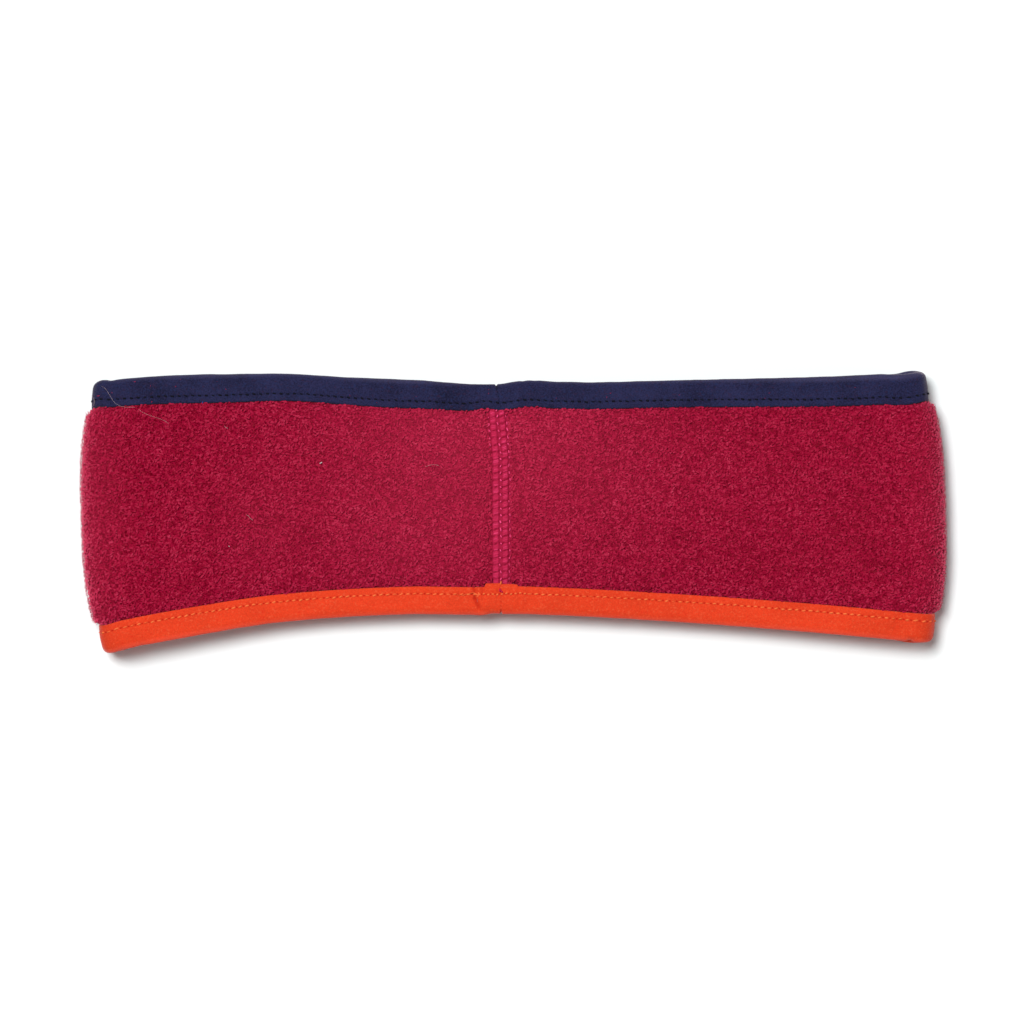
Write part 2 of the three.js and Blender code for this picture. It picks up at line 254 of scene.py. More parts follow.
class HeadbandSizes(bpy.types.PropertyGroup):
    """The sizes of the cloth, the tapes, the seam and the way the loop lies."""

    flat_width: length("Flat width", "Fold to fold over the fleece", 250)
    height_at_seam: length("Height at seam", "Hem to hem at the back seam", 66.6)
    height_at_folds: length("Height at folds", "Hem to hem over the ears", 78.6)
    widening_power: share("Widening", "How late the band widens towards the folds", 1.6)
    arch_drop: length("Arch drop", "How far both ends curve down", 4.1)
    end_skew: length("End skew", "How far the right end lies up and the left end down", 1.7)
    mid_sway: length("Middle sway", "How far the runs sway before the ends", 2.6)
    head_gap: length("Head gap", "Clear space between the runs at the seam", 5.5)
    sag_start: share("Sag start", "Share of the half width where the run has sagged fully", 0.45)
    fold_inside: length("Fold inside", "Inside radius of a fold", 4)
    fold_bulge: length("Fold bulge", "How far the fleece swells out between the tapes", 3.7)
    bulge_step: share("Bulge step", "Share of the bulge that rises at a tape's edge", 0.32)
    bulge_step_length: length("Bulge step length", "Length of that rise", 1.2)
    crown_rise: length("Crown rise", "How far the fleece crowns on the upper run", 0.7)
    corner_pull: length("Corner pull", "How far a hem draws in at a fold", 0.35)
    fleece_thickness: length("Fleece thickness", "Over the pile of both faces", 4)
    pressed_fleece: length("Pressed fleece", "Its thickness inside a tape", 1.4)
    top_tape_width: length("Top tape width", "Hem to inner edge of the navy tape", 7.8)
    bottom_tape_width: length("Bottom tape width", "Hem to inner edge of the orange tape", 8.1)
    tape_wall: length("Tape wall", "Thickness of a folded tape", 1)
    clearance: length("Clearance", "Between the tape and the fleece", 0.3)
    tab_width: length("Tab width", "Width of the raised tab at the orange join", 9.6)
    tab_reach: length("Tab reach", "How much wider the tape is there", 1.0)
    tab_rise: length("Tab rise", "How much thicker the tape is there", 0.25)
    tab_slope: length("Tab slope", "Width of the tab's shoulder", 0.7)
    groove_width: length("Groove width", "Width of a tape's join", 0.9)
    groove_depth: length("Groove depth", "Depth of a tape's join", 0.5)
    stitch_pitch: length("Stitch pitch", "From one stitch to the next", 2.03)
    tab_pitch: length("Tab pitch", "From stitch to stitch across the orange join", 1.36)
    stitch_inset: length("Stitch inset", "From a tape's inner edge to its stitches", 2.15)
    stitch_radius: length("Stitch radius", "Radius of the sewing thread", 0.2)
    seam_width: length("Seam width", "Width of the flat back seam", 5.8)
    seam_offset: length("Seam offset", "From the middle of the flat loop", -3.4)
    seam_lean: length("Seam lean", "How far the seam's top leans", -1.7)
    seam_lean_start: share("Seam lean start", "Share of the height where the lean starts", 0.68)
    valley_depth: length("Valley depth", "How far the seam presses the fleece", 0.85)
    valley_slope: length("Valley slope", "Width of the valley's side", 2.8)
    pile_depth: length("Pile depth", "From the ground of the fleece to its curls' tops", 0.5)
    lump_size: length("Lump size", "From one lump of the nap to the next", 1.7)
    lump_height: length("Lump height", "From the cracks of the nap to its lumps", 0.4)
    curl_length: length("Curl length", "Length of one curl of the pile", 1.2)
    curl_radius: length("Curl radius", "Radius of one curl at its middle", 0.32)
    curl_spacing: length("Curl spacing", "Between neighbouring curls", 0.64)
    curl_heading: share("Curl heading", "The nap's main direction from the seam, in radians", 0.45)
    fuzz_length: length("Fuzz length", "Length of the loose fibres at the folds", 0.8)
    # Painted sheen: how much paler the pile and its ground are painted where they are seen edge-on
    painted_rim_sheen: share("Rim glow", "How much paler the pile is where it is seen edge-on", 1.1)
    seed: IntProperty(name="Seed", description="Start of the random draws", default=7)


class HeadbandColours(bpy.types.PropertyGroup):
    """The colours of the cloth, the tapes and the threads."""

    fleece: colour("Fleece", "Mean colour of the pile", 0.29, 0.0045, 0.0295)
    # Painted shade: the fleece's dark tone, put on the ground between the curls and in the nap's
    # cracks
    fleece_dark_and_shade: colour("Fleece ground", "Between the curls", 0.135, 0.0006, 0.0085)
    # Painted highlight: the pale end of the pile's tone, reached on the nap's lumps and added where
    # the fleece is painted paler
    fleece_pale_and_highlight: colour("Fleece tips", "Tops of the palest curls", 0.52, 0.05, 0.108)
    navy: colour("Navy tape", "Top tape", 0.0149, 0.0149, 0.045)
    orange: colour("Orange tape", "Bottom tape", 0.605, 0.0415, 0.0128)
    navy_shade: colour("Navy thread's shade", "Darkest navy stitches", 0.007, 0.007, 0.018)
    navy_thread: colour("Navy thread", "Stitches of the top tape", 0.0045, 0.0045, 0.0099)
    orange_thread: colour("Orange thread", "Stitches of the bottom tape", 0.765, 0.153, 0.045)
    seam_thread: colour("Seam thread", "Threads over the seam's ribs", 0.46, 0.0155, 0.067)
    # Painted shade: the seam's dark tone, put in the groove between its ribs and the gaps between its
    # stitches
    seam_dark_and_shade: colour("Seam ground", "Between the seam's ribs", 0.2, 0.002, 0.019)
    seam_light: colour("Seam needle thread", "Palest stitches of the seam", 0.8, 0.062, 0.2)
    fuzz: colour("Fuzz", "Loose fibres at the folds", 0.675, 0.27, 0.324)
    lint: colour("Lint", "Loose hairs on the cloth", 0.495, 0.378, 0.378)
    pink_shade: colour("Pink bits' shade", "Darkest of the pink bits of thread", 0.4, 0.006, 0.033)
    pink_thread: colour("Pink bits", "Palest of the pink bits of thread", 0.56, 0.015, 0.06)
    blue_shade: colour("Blue bit's shade", "Darkest of the blue bit of thread", 0.03, 0.06, 0.25)
    blue_thread: colour("Blue bit", "Palest of the blue bit of thread", 0.05, 0.1, 0.4)
    floor: colour("Floor", "The pale surface", 0.785, 0.825, 0.825)


def smoothstep(x, low, high):
    """0 below low and 1 above high, with an even slope between."""
    t = np.clip((x - low) / (high - low), 0, 1)
    return t * t * (3 - 2 * t)


def fade(distance, edge, slope):
    """1 inside the edge and 0 outside it, over a slope centred on the edge."""
    return 1 - smoothstep(distance, edge - slope / 2, edge + slope / 2)


def bell(distance, width):
    """1 at no distance and nearly 0 at twice the width."""
    return np.exp(-((distance / width) ** 2))


def unit(vectors):
    """The same directions at length 1."""
    return vectors / np.linalg.norm(vectors, axis=-1, keepdims=True)


def waves(x, y, wavelength, seed, count=7):
    """Smooth unevenness from -1 to 1 in the plane, from a few waves in random directions."""
    rng = np.random.default_rng(seed)
    total = np.zeros(np.broadcast(x, y).shape)
    for _ in range(count):
        heading = rng.uniform(0, 2 * math.pi)
        number = 2 * math.pi / (wavelength * rng.uniform(0.7, 1.5))
        start = rng.uniform(0, 2 * math.pi)
        total += np.sin(number * (x * math.cos(heading) + y * math.sin(heading)) + start)
    return total / math.sqrt(count) / 1.6


def smooth_through(knots, values, places):
    """A smooth curve of values through knots, read at places: the polynomial of all its knots."""
    return np.polyval(np.polyfit(knots, values, len(knots) - 1), places)


def side_by_side(parts):
    """Joins the rows of a section, part by part, into one table for each of its numbers."""
    parts = [np.broadcast_arrays(*part) for part in parts]
    return [np.concatenate([part[i] for part in parts], axis=1) for i in range(3)]


def nap(along, up, sizes):
    """The lumps of the nap, from 0 in the cracks between them to 1 on their tops."""
    first = np.abs(waves(along, up, sizes.lump_size * 2, sizes.seed + 21, 9))
    second = np.abs(waves(along, up, sizes.lump_size * 2, sizes.seed + 22, 9))
    return smoothstep(np.minimum(first, second), 0.0, 0.3)


def nap_relief(along, up, sizes, lump):
    """How far the fleece's face stands out from its plain form, with the nap's lumps on it."""
    relief = waves(along, up, 9 * MM, sizes.seed) * 0.12 * MM
    return relief + (lump - 0.7) * sizes.lump_height


class Loop:
    """The headband's wall: its middle surface, its two hems and the tapes over them."""

    def __init__(self, sizes):
        self.sizes = s = sizes
        self.pressed = s.pressed_fleece / 2
        self.half = s.fleece_thickness / 2
        self.tape_inner = self.pressed + s.clearance
        self.tape_outer = self.tape_inner + s.tape_wall
        self.wall = max(self.half, self.tape_outer)
        self.radius = s.fold_inside + self.wall
        self.hem_reach = s.flat_width / 2 - s.fold_bulge - self.wall
        self.sag = 2 * self.radius - s.head_gap - 2 * self.wall
        self.tape_widths = {"bottom": s.bottom_tape_width, "top": s.top_tape_width}
        self.shift = np.zeros(3)
        ends = {side: float(self.fold_start(side, 0.5, 1.0)) for side in FOLDS}
        self.front_run = {side: abs(x) for side, x in ends.items()}
        self.back_run = {side: abs(x - s.seam_offset) for side, x in ends.items()}
        self.half_loop = {
            side: self.back_run[side] + math.pi * self.radius + self.front_run[side] for side in FOLDS
        }
        self.fit_to_frame()

    def fit_to_frame(self):
        """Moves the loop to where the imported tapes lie."""
        along = np.linspace(-self.half_loop["left"], self.half_loop["right"], 900)
        faces = []
        for end in (0.0, 1.0):
            inset = self.tape_outer * (1 - 2 * end)
            faces += [self.points(along, end, inset, self.tape_outer)]
            faces += [self.points(along, end, 0.0, 0.0)]
        low, high = np.min(np.concatenate(faces), axis=0), np.max(np.concatenate(faces), axis=0)
        boxes = [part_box("bottom_binding"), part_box("top_binding")]
        packed_low = np.min([tuple(box[0]) for box in boxes], axis=0)
        packed_high = np.max([tuple(box[1]) for box in boxes], axis=0)
        self.shift = (packed_low + packed_high - low - high) / 2

    def by_side(self, along, values):
        """One value for the left half of the loop and one for the right."""
        return np.where(along < 0, values["left"], values["right"])

    def fold_start(self, side, height, bulge):
        """X where a run turns into its fold."""
        s, fold = self.sizes, FOLDS[side]
        lean = fold["lean"] * (height - 0.5) * s.height_at_folds
        near_bottom = np.clip(1 - height * s.height_at_folds / s.bottom_tape_width, 0, None)
        near_top = np.clip(1 - (1 - height) * s.height_at_folds / s.top_tape_width, 0, None)
        draw = (fold["bottom_draw"] * near_bottom**2 + fold["top_draw"] * near_top**2) * MM
        out = s.fold_bulge * fold["bulge"] * bulge
        return fold["sign"] * (self.hem_reach + lean - draw + out - self.radius)

    def seam_line(self, height):
        """X of the back seam at a share of the height."""
        s = self.sizes
        lean = np.clip((height - s.seam_lean_start) / (1 - s.seam_lean_start), 0, 1)
        return s.seam_offset + s.seam_lean * lean

    def place(self, along, height, bulge):
        """X and Z of the middle surface, how far the loop has turned under, and how near the apex."""
        s = self.sizes
        sign = np.where(along < 0, -1.0, 1.0)
        starts = {side: self.fold_start(side, height, bulge) for side in FOLDS}
        start = self.by_side(along, starts)
        back = self.by_side(along, self.back_run)
        distance = np.abs(along)
        angle = np.clip((distance - back) / self.radius, 0, math.pi)
        past = np.clip(distance - back - math.pi * self.radius, 0, None)
        seam = self.seam_line(height)
        upper = seam + (start - seam) * np.minimum(distance / back, 1)
        under = start * (1 - past / self.by_side(along, self.front_run))
        on_back = distance <= back
        x = np.where(on_back, upper, under + sign * self.radius * np.sin(angle))
        turned = (1 - np.cos(angle)) / 2
        sag = self.sag * (1 - smoothstep(np.abs(upper / start), s.sag_start, 1)) * on_back
        z = self.wall + (2 * self.radius + s.crown_rise * bulge) * (1 - turned) - sag
        return x, z, turned, np.sin(angle)

    def hems(self, x, turned, apex):
        """Y of the bottom and the top hem."""
        s = self.sizes
        reach = np.abs(x) / self.hem_reach
        height = s.height_at_seam + (s.height_at_folds - s.height_at_seam) * reach**s.widening_power
        skew = np.sign(x) * (s.end_skew * reach**3 - s.mid_sway * (reach - reach**3))
        centre = skew - s.arch_drop * reach**3
        pull = s.corner_pull * np.clip(apex, 0, 1) ** 6
        lines = {"bottom": centre - height / 2 + pull, "top": centre + height / 2 - pull}
        for row in HEM_MOVES:
            away = (x - row["at"] * s.flat_width / 2) / (row["reach"] * s.flat_width / 2)
            bump = np.clip(1 - away**2, 0, None) ** 2
            weight = turned if row["run"] == "front" else 1 - turned
            lines[row["hem"]] = (
                lines[row["hem"]] + row["move"] * self.tape_widths[row["hem"]] * bump * weight
            )
        return lines["bottom"], lines["top"]

    def tab(self, hem, along):
        """1 on the raised tab at the orange tape's join."""
        s = self.sizes
        if hem == "top":
            return np.zeros(np.shape(along))
        lower = 0.28 * smoothstep(along, -0.4 * MM, 0.4 * MM)
        lower = lower + 0.15 * smoothstep(along, 2 * MM, 4.8 * MM)
        return fade(np.abs(along + 0.2 * MM), s.tab_width / 2 + 0.1 * MM, s.tab_slope) * (1 - lower)

    def at_tab(self, hem, along):
        """Whether the stitches are sewn tighter, over the orange join."""
        return (hem == "bottom") & (np.abs(along) < 5.5 * self.sizes.tab_pitch)

    def folded_width(self, hem, along):
        """From the hem to the tape's inner edge, without the tab at its join."""
        width = self.tape_widths[hem] + 0 * along
        for row in TAPE_SPREADS:
            if row["hem"] == hem:
                width = width + row["wider"] * MM * bell(along - row["at"] * MM, row["reach"] * MM)
        return width

    def tape_width(self, hem, along):
        """From the hem to the tape's inner edge."""
        return self.folded_width(hem, along) + self.sizes.tab_reach * self.tab(hem, along)

    def past_tapes(self, along, height, inset):
        """How far a point lies past the bottom and the top tape's edge."""
        s = self.sizes
        x, _, turned, apex = self.place(along, height, 0.0)
        bottom, top = self.hems(x, turned, apex)
        tall = top - bottom
        low = height * tall + inset - self.tape_width("bottom", along) - s.clearance
        high = (1 - height) * tall - inset - self.tape_width("top", along) - s.clearance
        return low, high

    def bulge(self, along, height, inset):
        """The share of the bulge that the fleece has at a point."""
        s = self.sizes
        low, high = self.past_tapes(along, height, inset)
        inside = (low > 0) & (high > 0)
        low, high = np.where(inside, low, 1.0), np.where(inside, high, 1.0)
        crown = 1 - np.abs((low - high) / (low + high)) ** 3
        step = smoothstep(np.minimum(low, high), 0, s.bulge_step_length)
        return np.where(inside, s.bulge_step * step + (1 - s.bulge_step) * crown, 0.0)

    def middle(self, along, height, inset, bulge):
        """A point of the middle surface: a share of the height, then an inset."""
        x, _, turned, apex = self.place(along, height, bulge)
        bottom, top = self.hems(x, turned, apex)
        x, z, turned, apex = self.place(along, height + inset / (top - bottom), bulge)
        bottom, top = self.hems(x, turned, apex)
        y = bottom + (top - bottom) * height + inset
        return np.stack(np.broadcast_arrays(x, y, z), axis=-1) + self.shift

    def directions(self, along, height, inset):
        """A point of the middle surface, and there along the loop, up the wall and out of it."""
        step = 0.02 * MM
        bulge = self.bulge(along, height, inset)
        point = self.middle(along, height, inset, bulge)
        ahead = self.middle(along + step, height, inset, bulge)
        ahead = unit(ahead - self.middle(along - step, height, inset, bulge))
        upward = self.middle(along, height, inset + step, bulge)
        upward = unit(upward - self.middle(along, height, inset - step, bulge))
        return point, ahead, upward, unit(np.cross(ahead, upward))

    def points(self, along, height, inset, offset):
        """Points off the middle surface."""
        along, height, inset, offset = np.broadcast_arrays(along, height, inset, offset)
        point, _, _, outward = self.directions(along, height, inset)
        return point + outward * offset[..., None]

    def valley(self, along):
        """How far the seam presses the outer face."""
        s = self.sizes
        edge = s.seam_width / 2 + (s.clearance + s.valley_slope) / 2
        return s.valley_depth * fade(np.abs(along), edge, s.valley_slope - s.clearance)

    def swell(self, along, height, inset):
        """0 where the fleece is pressed by a tape and 1 at its full thickness."""
        low, high = self.past_tapes(along, height, inset)
        past = np.minimum(low, high) + self.sizes.clearance
        return np.interp(past, np.array([-0.05, 0.3, 1.5]) * MM, [0, 0.86, 1])

    def outer_face(self, along, swell):
        """The outer face of the fleece over its middle surface."""
        full = self.half - self.valley(along) * swell
        return self.pressed + (full - self.pressed) * swell

    def on_upper_run(self, x, y, offset):
        """The points of the upper run over places of the floor, both in millimetres."""
        x, y = np.asarray(x, float) * MM, np.asarray(y, float) * MM
        along, height = x - self.sizes.seam_offset, 0.5 + y / self.sizes.height_at_folds
        for _ in range(12):
            place = self.points(along, height, 0.0, offset)
            along = along + (x - place[..., 0]) * 0.9
            height = height + (y - place[..., 1]) / self.sizes.height_at_folds
        return self.points(along, height, 0.0, offset)

    def paler(self, point):
        """How much paler the upper run is painted at points: patches, with painted sheen along the
        folds' rims.
        """
        total = 0.0
        for patch in PALER_PATCHES:
            wide, tall = patch["wide"] * MM, patch["tall"] * MM
            right = (point[..., 0] - patch["x"] * MM) / wide
            up = (point[..., 1] - patch["y"] * MM) / tall
            away = np.hypot(right, up)
            total = total + patch["paler"] * bell(away, 1.0)
        return total

    def stations(self, back_step, fold_step, front_step, marks=()):
        """Places along the loop, with their own steps on the upper run, folds and lower run."""
        places = [np.zeros(1), np.asarray(marks, float), -np.asarray(marks, float)]
        for side, fold in FOLDS.items():
            back, turn, half = self.back_run[side], math.pi * self.radius, self.half_loop[side]
            spans = (
                (0, back, back_step), (back, back + turn, fold_step), (back + turn, half, front_step),
            )
            for low, high, step in spans:
                count = max(2, round((high - low) / step))
                places.append(fold["sign"] * np.linspace(low, high, count + 1)[1:])
        along = np.unique(np.round(np.concatenate(places), 7))
        keep = np.concatenate([[True], np.diff(along) > 0.04 * MM])
        return along[keep][1:]


def deselect_all():
    """Nothing is selected, so that an operator acts on the new piece alone."""
    if bpy.context.object and bpy.context.object.mode != "OBJECT":
        bpy.ops.object.mode_set(mode="OBJECT")
    bpy.ops.object.select_all(action="DESELECT")


def finish_piece(piece, name, slot, *nodes):
    """Names a piece and ties it to the frame."""
    piece.name = piece.data.name = name
    piece.data.polygons.foreach_set("use_smooth", [True] * len(piece.data.polygons))
    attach(piece, BODY)
    if nodes:
        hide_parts(*nodes)


def set_map(mesh, name, values):
    """Writes a UV map from one pair of numbers for each face corner."""
    layer = mesh.uv_layers.new(name=name)
    layer.uv.foreach_set("vector", np.ascontiguousarray(values, dtype=np.float32).ravel())


def set_attribute(mesh, name, values):
    """Writes one number for each vertex."""
    attribute = mesh.attributes.new(name, "FLOAT", "POINT")
    attribute.data.foreach_set("value", np.ascontiguousarray(values, dtype=np.float32).ravel())


def mark_paler(mesh, loop, rim=0.0):
    """Writes how much paler the fleece is painted: in patches on the upper run, and at the rim as
    painted sheen.
    """
    places = np.empty(len(mesh.vertices) * 3, dtype=np.float32)
    mesh.vertices.foreach_get("co", places)
    places = places.reshape(-1, 3)
    set_attribute(mesh, "paler", loop.paler(places) * (places[:, 2] > 10 * MM) + rim)


def swept_ring(vertices, maps, strips, numbers=None):
    """A grid primitive carried onto the loop and closed both ways into a ring.

    vertices is stations by rows by three. maps gives, for each UV map, a value pair at every
    station and row, with one more of each that closes the ring. The bake's map lays the loop
    out in a number of strips, one above the other.
    """
    stations, rows = vertices.shape[:2]
    deselect_all()
    bpy.ops.mesh.primitive_grid_add(x_subdivisions=rows, y_subdivisions=stations, size=1)
    ring = bpy.context.object
    mesh = ring.data
    closed = np.pad(vertices, ((0, 1), (0, 1), (0, 0)), mode="wrap")
    mesh.vertices.foreach_set("co", closed.astype(np.float32).ravel())
    corners = np.empty(len(mesh.loops), dtype=np.int32)
    mesh.loops.foreach_get("vertex_index", corners)
    station, row = np.divmod(corners, rows + 1)
    for name, values in maps.items():
        set_map(mesh, name, values[station, row])
    for name, values in (numbers or {}).items():
        set_attribute(mesh, name, np.pad(values, ((0, 1), (0, 1)), mode="wrap"))
    per_strip = stations / strips
    first = np.repeat(station.reshape(-1, 4).min(axis=1), 4)
    strip = np.floor((first + 0.5) / per_strip)
    across = (station - strip * per_strip) / per_strip * 0.98 + 0.01
    up = (strip + 0.02 + 0.96 * row / rows) / strips
    set_map(mesh, "OFBake", np.stack([across, up], axis=-1))
    mesh.update()
    bpy.ops.object.mode_set(mode="EDIT")
    bpy.ops.mesh.select_all(action="SELECT")
    bpy.ops.mesh.remove_doubles(threshold=0.001 * MM)
    bpy.ops.mesh.normals_make_consistent(inside=False)
    bpy.ops.object.mode_set(mode="OBJECT")
    return ring


def thread_copies(name, count, rings, sides):
    """One closed thread, modelled from a sphere primitive, copied a number of times.

    Also gives, for each vertex of the thread, its ring from the start and its angle round it.
    """
    deselect_all()
    bpy.ops.mesh.primitive_uv_sphere_add(segments=sides, ring_count=rings - 1, radius=1)
    threads = bpy.context.object
    threads.name = name
    place = np.array([tuple(v.co) for v in threads.data.vertices])
    ring = np.rint(np.arccos(np.clip(place[:, 2], -1, 1)) / math.pi * (rings - 1)).astype(int)
    angle = np.arctan2(place[:, 1], place[:, 0])
    while threads.data.uv_layers:
        threads.data.uv_layers.remove(threads.data.uv_layers[0])
    copies = threads.modifiers.new("copies", "ARRAY")
    copies.count = count
    copies.use_relative_offset = False
    copies.use_constant_offset = True
    copies.constant_offset_displace = (3, 0, 0)
    bpy.ops.object.modifier_apply(modifier=copies.name)
    return threads, ring, angle


def thread_field(name, paths, outward, radii, sides, flat=1.0, shades=None, roots=None, soft=0.0):
    """Many threads as one mesh, each carried onto its path.

    paths is threads by rings by three, outward one direction for each thread, radii one number
    for each ring of each thread. flat is the threads' thickness beside their width. shades
    gives each thread's shade, and roots its place on the flat cloth, for the bake's map. soft
    turns the threads' normals towards the cloth's own, as the light runs into a dense pile.
    """
    count, rings = paths.shape[:2]
    field, ring, angle = thread_copies(name, count, rings, sides)
    heading = unit(np.gradient(paths, axis=1))
    up = outward[:, None, :] - heading * (heading * outward[:, None, :]).sum(-1, keepdims=True)
    up = unit(up)
    aside = np.cross(heading, up)
    radii = np.broadcast_to(radii, (count, rings))[:, ring, None]
    out = np.cos(angle)[None, :, None] * aside[:, ring]
    out = out + np.sin(angle)[None, :, None] * flat * up[:, ring]
    vertices = paths[:, ring] + radii * out
    mesh = field.data
    mesh.vertices.foreach_set("co", vertices.astype(np.float32).ravel())
    mesh.update()
    if soft:
        mesh.polygons.foreach_set("use_smooth", [True] * len(mesh.polygons))
        normals = unit(unit(out) * (1 - soft) + outward[:, None, :] * soft)
        mesh.normals_split_custom_set_from_vertices(normals.reshape(-1, 3))
    each = len(ring)
    set_attribute(mesh, "shade", np.repeat(np.full(count, 0.5) if shades is None else shades, each))
    if roots is not None:
        along_thread = np.tile(ring / (rings - 1), count)
        corners = np.empty(len(mesh.loops), dtype=np.int32)
        mesh.loops.foreach_get("vertex_index", corners)
        across, beside = np.tile(np.cos(angle), count), np.tile(np.sin(angle), count)
        spread = np.stack([across * 0.6 + along_thread, beside], axis=-1)
        flat_place = np.repeat(roots, each, axis=0) + spread * 0.25 * MM
        low, high = flat_place.min(axis=0), flat_place.max(axis=0)
        set_map(mesh, "OFBake", ((flat_place - low) / (high - low))[corners])
    return field


class Value:
    """A shader value that Python's operators work on: each adds its Math node."""

    def __init__(self, finish, socket):
        self.finish, self.socket = finish, socket

    def maths(self, operation, *others):
        """The outcome of one Math node on this value and others."""
        return self.finish.maths(operation, self, *others)

    def __add__(self, other):
        return self.maths("ADD", other)

    def __sub__(self, other):
        return self.maths("SUBTRACT", other)

    def __rsub__(self, other):
        return self.finish.maths("SUBTRACT", other, self)

    def __mul__(self, other):
        return self.maths("MULTIPLY", other)

    def __pow__(self, other):
        return self.maths("POWER", other)


class Finish:
    """A material whose nodes are added one call at a time."""

    def __init__(self, name, **surface):
        self.material = bpy.data.materials.new(name)
        self.material.use_nodes = True
        self.tree = self.material.node_tree
        self.surface = self.tree.nodes["Principled BSDF"]
        for name, value in surface.items():
            socket = name.replace("_", " ").title().replace("Ior", "IOR")
            self.surface.inputs[socket].default_value = value

    def node(self, kind, settings=None, **sockets):
        """A node of a kind, its settings first and then the values or links of its sockets."""
        node = self.tree.nodes.new(kind)
        for name, value in (settings or {}).items():
            setattr(node, name, value)
        for name, value in sockets.items():
            socket = node.inputs[int(name[1:]) if name[1:].isdigit() else name.replace("_", " ")]
            self.feed(socket, value)
        return node

    def feed(self, socket, value):
        """Links a socket, or sets its value."""
        if isinstance(value, Value):
            value = value.socket
        if isinstance(value, bpy.types.NodeSocket):
            self.tree.links.new(value, socket)
        else:
            socket.default_value = value

    def maths(self, operation, *values):
        """The outcome of one Math node."""
        sockets = {f"_{i}": value for i, value in enumerate(values)}
        node = self.node("ShaderNodeMath", {"operation": operation}, **sockets)
        return Value(self, node.outputs[0])

    def noise(self, size, detail=2.0, roughness=0.5, stretch=(1, 1, 1), turn=0.0):
        """Noise with features of about a size, from 0 to 1, in the piece's own place."""
        place = self.node("ShaderNodeTexCoord").outputs["Object"]
        place = self.node("ShaderNodeMapping", Vector=place, Rotation=(0, 0, -turn)).outputs[0]
        scale = tuple(1 / (size * k) for k in stretch)
        place = self.node("ShaderNodeMapping", Vector=place, Scale=scale).outputs[0]
        node = self.node(
            "ShaderNodeTexNoise", Vector=place, Scale=1.0, Detail=detail, Roughness=roughness
        )
        return Value(self, node.outputs["Fac"])

    def step(self, value, low, high):
        """0 below low and 1 above high, smoothly."""
        node = self.node(
            "ShaderNodeMapRange", {"interpolation_type": "SMOOTHSTEP"}, Value=value, From_Min=low,
            From_Max=high,
        )
        return Value(self, node.outputs[0])

    def attribute(self, name):
        """A number that the piece's vertices hold."""
        return Value(self, self.node("ShaderNodeAttribute", {"attribute_name": name}).outputs["Fac"])

    def map_axes(self, name):
        """Both numbers of one of the piece's UV maps."""
        place = self.node("ShaderNodeUVMap", {"uv_map": name}).outputs[0]
        split = self.node("ShaderNodeSeparateXYZ", Vector=place)
        return Value(self, split.outputs[0]), Value(self, split.outputs[1])

    def mix(self, amount, first, second, blend="MIX"):
        """Two colours mixed."""
        node = self.node(
            "ShaderNodeMix", {"data_type": "RGBA", "blend_type": blend},
            Factor=amount, _6=first, _7=second,
        )
        return node.outputs[2]

    def paint(self, colour_socket):
        """The colour goes to the surface."""
        self.feed(self.surface.inputs["Base Color"], colour_socket)

    def bump(self, height, distance, strength=1.0):
        """A height goes to the surface's normal."""
        node = self.node("ShaderNodeBump", Height=height, Distance=distance, Strength=strength)
        self.feed(self.surface.inputs["Normal"], node.outputs[0])


def rgba(colour_value, factor=1.0):
    """A colour with its alpha, made lighter or darker by a factor."""
    return (*(min(1.0, c * factor) for c in colour_value), 1.0)


def fleece_ground_finish(colours):
    """The knitted ground between the curls: painted deeper and duller than the pile, as shade under
    it.
    """
    finish = Finish("fleece_ground", roughness=0.95, specular_ior_level=0.0)
    fine = finish.noise(0.5 * MM, 2.0)
    tone = finish.step(fine, 0.36, 0.64)
    ground = finish.mix(tone, rgba(colours.fleece_dark_and_shade, 0.8), rgba(colours.fleece, 0.95))
    # Adds the paler patches and the painted rim sheen
    finish.paint(finish.mix(finish.attribute("paler"), ground, rgba(colours.fleece_pale_and_highlight), "ADD"))
    finish.bump(fine + finish.noise(0.3 * MM, 2.0) * 0.4, 0.35 * MM)
    return finish.material


def fleece_pile_finish(colours):
    """The curls: each has its own shade, with painted shade in the nap's cracks, painted highlight on
    its lumps and painted sheen at the folds, and broad paler patches.
    """
    finish = Finish(
        "fleece_pile", roughness=0.9, specular_ior_level=0.0, sheen_weight=0.4, sheen_roughness=0.35
    )
    finish.surface.inputs["Sheen Tint"].default_value = rgba((1.0, 0.5, 0.6))
    own = finish.attribute("shade")
    patch = finish.step(finish.noise(18 * MM, 3.0, 0.6), 0.35, 0.65)
    tuft = finish.noise(1.05 * MM, 1.0, stretch=(1.5, 1.0, 1.0), turn=0.5)
    fine = finish.noise(0.4 * MM, 2.0, stretch=(1.3, 1.0, 1.0), turn=0.5)
    tone = own * 0.52 + patch * 0.09 + (tuft - 0.5) * 0.45 + (fine - 0.5) * 1.15 + 0.06
    dark = finish.mix(
        finish.step(tone, 0.0, 0.5), rgba(colours.fleece_dark_and_shade), rgba(colours.fleece)
    )
    shade = finish.mix(finish.step(tone, 0.42, 1.15), dark, rgba(colours.fleece_pale_and_highlight))
    tinge = finish.step(finish.noise(0.55 * MM, 1.0), 0.4, 0.7)
    shade = finish.mix(tinge, shade, rgba((0.014, 0.006, 0.005)), "ADD")
    # Adds the paler patches and the painted rim sheen
    finish.paint(finish.mix(finish.attribute("paler"), shade, rgba(colours.fleece_pale_and_highlight), "ADD"))
    finish.bump(fine + finish.noise(0.18 * MM, 2.0) * 0.5, 0.1 * MM)
    return finish.material


